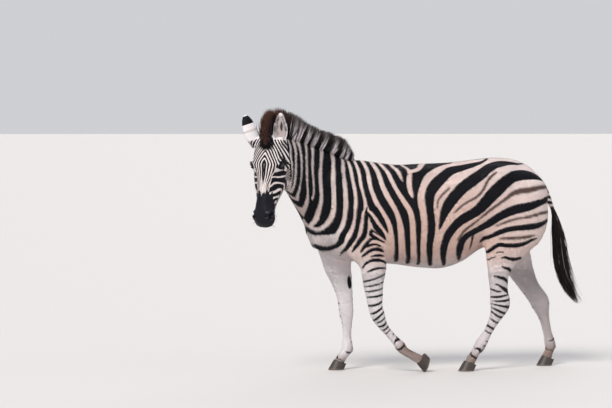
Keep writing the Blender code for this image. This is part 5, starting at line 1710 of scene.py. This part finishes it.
def head_surface(sign, down, out):
    """Where the flank of the head lies at that height, to its own side."""
    beside = Vector(on_head(sign * 0.2, down, out) + np.array(ANIMAL_TO_FRAME))
    hit = skin_tree.ray_cast(beside, Vector(-sign * HEAD_FRAME[0]))[0]
    if hit is None:
        return np.array((0.03, down, out))
    side = from_head((np.array(hit) - np.array(ANIMAL_TO_FRAME))[None])[0, 0]
    return np.array((abs(side) - 0.002, down, out))


skin_tree = BVHTree.FromObject(zebra_skin, bpy.context.evaluated_depsgraph_get())
ear_hair()
lashes_and_whiskers()

# ---------------------------------------------------------------------------------------------------------
# The eyes. Dark glossy balls 43 mm across, set in the lids: a near-black brown iris with a wide level pupil
# under a clear cornea that catches the lamps. They sit in their sockets under the lids and never stand out.
# ---------------------------------------------------------------------------------------------------------


def eye_material():
    """A wet eyeball: clear coat over a dark brown iris, bluish in the pupil, reddish brown at its rim."""
    made, tree, shader = painted("wet_cornea_over_dark_iris", Roughness=0.12, IOR=1.38, Coat_Weight=1.0,
                                 Coat_Roughness=0.02, Coat_IOR=1.38)
    place = node(tree, "Attribute", attribute_name="gaze").outputs["Vector"]
    apart = node(tree, "SeparateXYZ", {0: place}).outputs
    tall = maths(tree, "MULTIPLY", apart[1], 1.75)
    flat = node(tree, "CombineXYZ", {0: apart[0], 1: tall, 2: 0.0}).outputs[0]
    pupil_gap = node(tree, "VectorMath", {0: flat}, operation="LENGTH").outputs["Value"]
    level = node(tree, "CombineXYZ", {0: apart[0], 1: apart[1], 2: 0.0}).outputs[0]
    iris_gap = node(tree, "VectorMath", {0: level}, operation="LENGTH").outputs["Value"]
    rays = node(tree, "TexNoise", {"Vector": place, "Scale": 26.0, "Detail": 3.0}).outputs[0]
    iris = node(tree, "ValToRGB", {"Fac": rays})
    iris.color_ramp.elements[0].color = tint("#140b07")
    iris.color_ramp.elements[1].color = tint("#3a2114")
    ball = node(tree, "MapRange", {"Value": iris_gap, "From Min": 0.60, "From Max": 0.74}).outputs[0]
    rimmed = blend(tree, ball, iris.outputs[0], tint("#1c100c"))
    black = node(tree, "MapRange", {"Value": pupil_gap, "From Min": 0.34, "From Max": 0.44}).outputs[0]
    tree.links.new(blend(tree, black, tint("#05070c"), rimmed), shader.inputs["Base Color"])
    return made


def eyeball(name, sign, paint):
    """A ball with a slightly raised cornea, turned to look out to its side."""
    bm = bmesh.new()
    bmesh.ops.create_uvsphere(bm, u_segments=64, v_segments=40, radius=1.0)
    look = np.array((LID_WAY, LID_RISE, GAZE))
    middle = np.array(EYE_PLACE) * (sign, 1, 1)
    gazes = []
    for v in bm.verts:
        way = np.array(v.co)
        gazes.append(way)
        rise = 1.0 + 0.030 * float(ramp(way[2], 0.62, 0.95))
        local = (way * EYE_RADIUS * rise * 0.992) @ look * np.array((sign, 1, 1))
        v.co = on_head(*(middle + local)) + np.array(ANIMAL_TO_FRAME)
    thing = solid_from(name, bm)
    layer = thing.data.attributes.new("gaze", "FLOAT_VECTOR", "POINT")
    layer.data.foreach_set("vector", np.array(gazes, dtype=np.float32).ravel())
    thing.data.materials.append(paint)
    thing.data.shade_smooth()
    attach(thing, "root")
    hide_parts(name)


cornea = eye_material()
eyeball("eye_left", 1, cornea)
eyeball("eye_right", -1, cornea)

# ---------------------------------------------------------------------------------------------------------
# The hooves. Grey-black horn, 10 cm long and 8 cm wide, with fine growth rings round the wall and a hollow
# sole with its frog. Three stand flat; the left forefoot is tipped up on its toe. The skin runs into their
# top edge.
# ---------------------------------------------------------------------------------------------------------

HOOF_LENGTH = 0.100
HOOF_WIDTH = 0.080
HOOF_HEIGHT = 0.052
HOOF_ROWS = 24  # up the wall
HOOF_CORNERS = 48  # round it
GROWTH_RING = 0.0062  # from one ring of growth to the next
RING_SWELL = 0.0045  # how far each swells out, as a share of the hoof
# height, growth, set back, lean of the top edge
HOOF_RINGS = (
    (0.0000, 0.97, 0.000, 0.00),
    (0.0030, 1.00, 0.001, 0.00),
    (0.0190, 0.93, 0.010, 0.10),
    (0.0350, 0.85, 0.019, 0.25),
    (HOOF_HEIGHT, 0.77, 0.029, 0.38),
)
# x of the toe, y, degrees tipped up, height of the toe
HOOVES = {
    "hoof_fore_left": (-0.048, LEFT, 72.0, -0.006),
    "hoof_fore_right": (-0.604, RIGHT, 0.0, 0.0),
    "hoof_hind_left": (0.168, LEFT, 0.0, 0.0),
    "hoof_hind_right": (0.757, RIGHT + 0.004, 0.0, 0.0),
}


def hoof_material():
    """Horn: dark grey-brown, satin, paler where the toe is worn, with fine rings and grain down the wall."""
    made, tree, shader = painted("satin_hoof_horn", Roughness=0.48, IOR=1.54, Specular_IOR_Level=0.4)
    place = node(tree, "Attribute", attribute_name="horn").outputs["Vector"]
    apart = node(tree, "SeparateXYZ", {0: place}).outputs
    grain = node(tree, "Mapping", {"Vector": place, "Scale": (90.0, 90.0, 6.0)}).outputs[0]
    fine = node(tree, "TexNoise", {"Vector": grain, "Scale": 9.0, "Detail": 3.0}).outputs[0]
    colour = node(tree, "ValToRGB", {"Fac": fine})
    colour.color_ramp.elements[0].position = 0.30
    colour.color_ramp.elements[0].color = tint("#211c1b")
    colour.color_ramp.elements[1].position = 0.75
    colour.color_ramp.elements[1].color = tint("#4d433e")
    dust = node(tree, "MapRange", {"Value": apart[2], "From Min": 0.012, "From Max": 0.0}).outputs[0]
    worn = blend(tree, maths(tree, "MULTIPLY", dust, 0.45), colour.outputs[0], tint("#8a7b6b"))
    tree.links.new(worn, shader.inputs["Base Color"])
    bump = node(tree, "Bump", {"Height": fine, "Strength": 0.35, "Distance": 0.0006})
    tree.links.new(bump.outputs[0], shader.inputs["Normal"])
    return made


def hoof_at(along, wide, rise, toe_x, y, pitch, toe_z):
    """From the hoof's own directions to the frame; the toe points along -X and all is above the floor."""
    far = along - HOOF_LENGTH / 2 * 0.87
    tip = radians(pitch)
    x = toe_x - (far * cos(tip) + rise * sin(tip))
    z = toe_z + rise * cos(tip) - far * sin(tip)
    return Vector((x, y + wide, max(z, 0.0))) + ANIMAL_TO_FRAME


def hoof(name, paint):
    """The wall in rings, a rounded bearing edge, a hollow sole and the frog."""
    toe_x, y, pitch, toe_z = HOOVES[name]
    table = np.array(HOOF_RINGS)
    rings = []
    for k in range(HOOF_ROWS + 1):
        rise = HOOF_HEIGHT * k / HOOF_ROWS
        grow, back, lean = (np.interp(rise, table[:, 0], table[:, j]) for j in (1, 2, 3))
        ripple = RING_SWELL * sin(rise * 2 * pi / GROWTH_RING) * (k > 2)
        rings.append((rise, grow + ripple, back, lean))
    top = rings[-1]
    rings.append((top[0] + 0.0008, top[1] - 0.05, top[2], top[3]))
    rings.append((top[0] - 0.0040, top[1] - 0.16, top[2], top[3]))
    bm = bmesh.new()
    layer = bm.verts.layers.float_vector.new("horn")

    def corner(along, wide, rise, own):
        v = bm.verts.new(hoof_at(along, wide, rise, toe_x, y, pitch, toe_z))
        v[layer] = (along, wide, own)
        return v

    def row(rise, grow, back, lean, own):
        made = []
        for k in range(HOOF_CORNERS):
            a = k * pi / (HOOF_CORNERS // 2)
            along = HOOF_LENGTH / 2 * grow * (cos(a) - 0.10 * cos(a) ** 2) - back
            wide = HOOF_WIDTH / 2 * grow * sin(a) * (1.0 - 0.10 * cos(a))
            made.append(corner(along, wide, rise + lean * (along + back), own))
        return made

    wall = [row(*ring, ring[0]) for ring in rings]
    sole = [row(0.0, 0.88, 0.0, 0.0, 0.0), row(0.0035, 0.80, 0.0, 0.0, 0.003)]
    sole.append(row(0.0050, 0.40, -0.004, 0.0, 0.004))
    rows = sole[::-1] + wall
    for low, high in zip(rows, rows[1:]):
        for k in range(HOOF_CORNERS):
            after = (k + 1) % HOOF_CORNERS
            bm.faces.new((low[k], low[after], high[after], high[k]))
    bm.faces.new(rows[-1])
    bm.faces.new(rows[0])
    frog = [corner(a, w, r, 0.004) for a, w, r in (
        (-0.036, 0.014, 0.0012), (-0.036, -0.014, 0.0012), (0.012, 0.0, 0.0022), (-0.036, 0.011, 0.006),
        (-0.036, -0.011, 0.006), (0.010, 0.0, 0.006))]
    for face in ((0, 1, 2), (3, 5, 4), (0, 2, 5, 3), (2, 1, 4, 5), (1, 0, 3, 4)):
        bm.faces.new([frog[k] for k in face])
    bmesh.ops.triangulate(bm, faces=[face for face in bm.faces if len(face.verts) > 4])
    thing = solid_from(name, bm)
    thing.data.materials.append(paint)
    thing.data.shade_smooth()
    thing.data.set_sharp_from_angle(angle=radians(38.0))
    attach(thing, "root")
    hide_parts(name)


horn = hoof_material()
for hoof_name in HOOVES:
    hoof(hoof_name, horn)
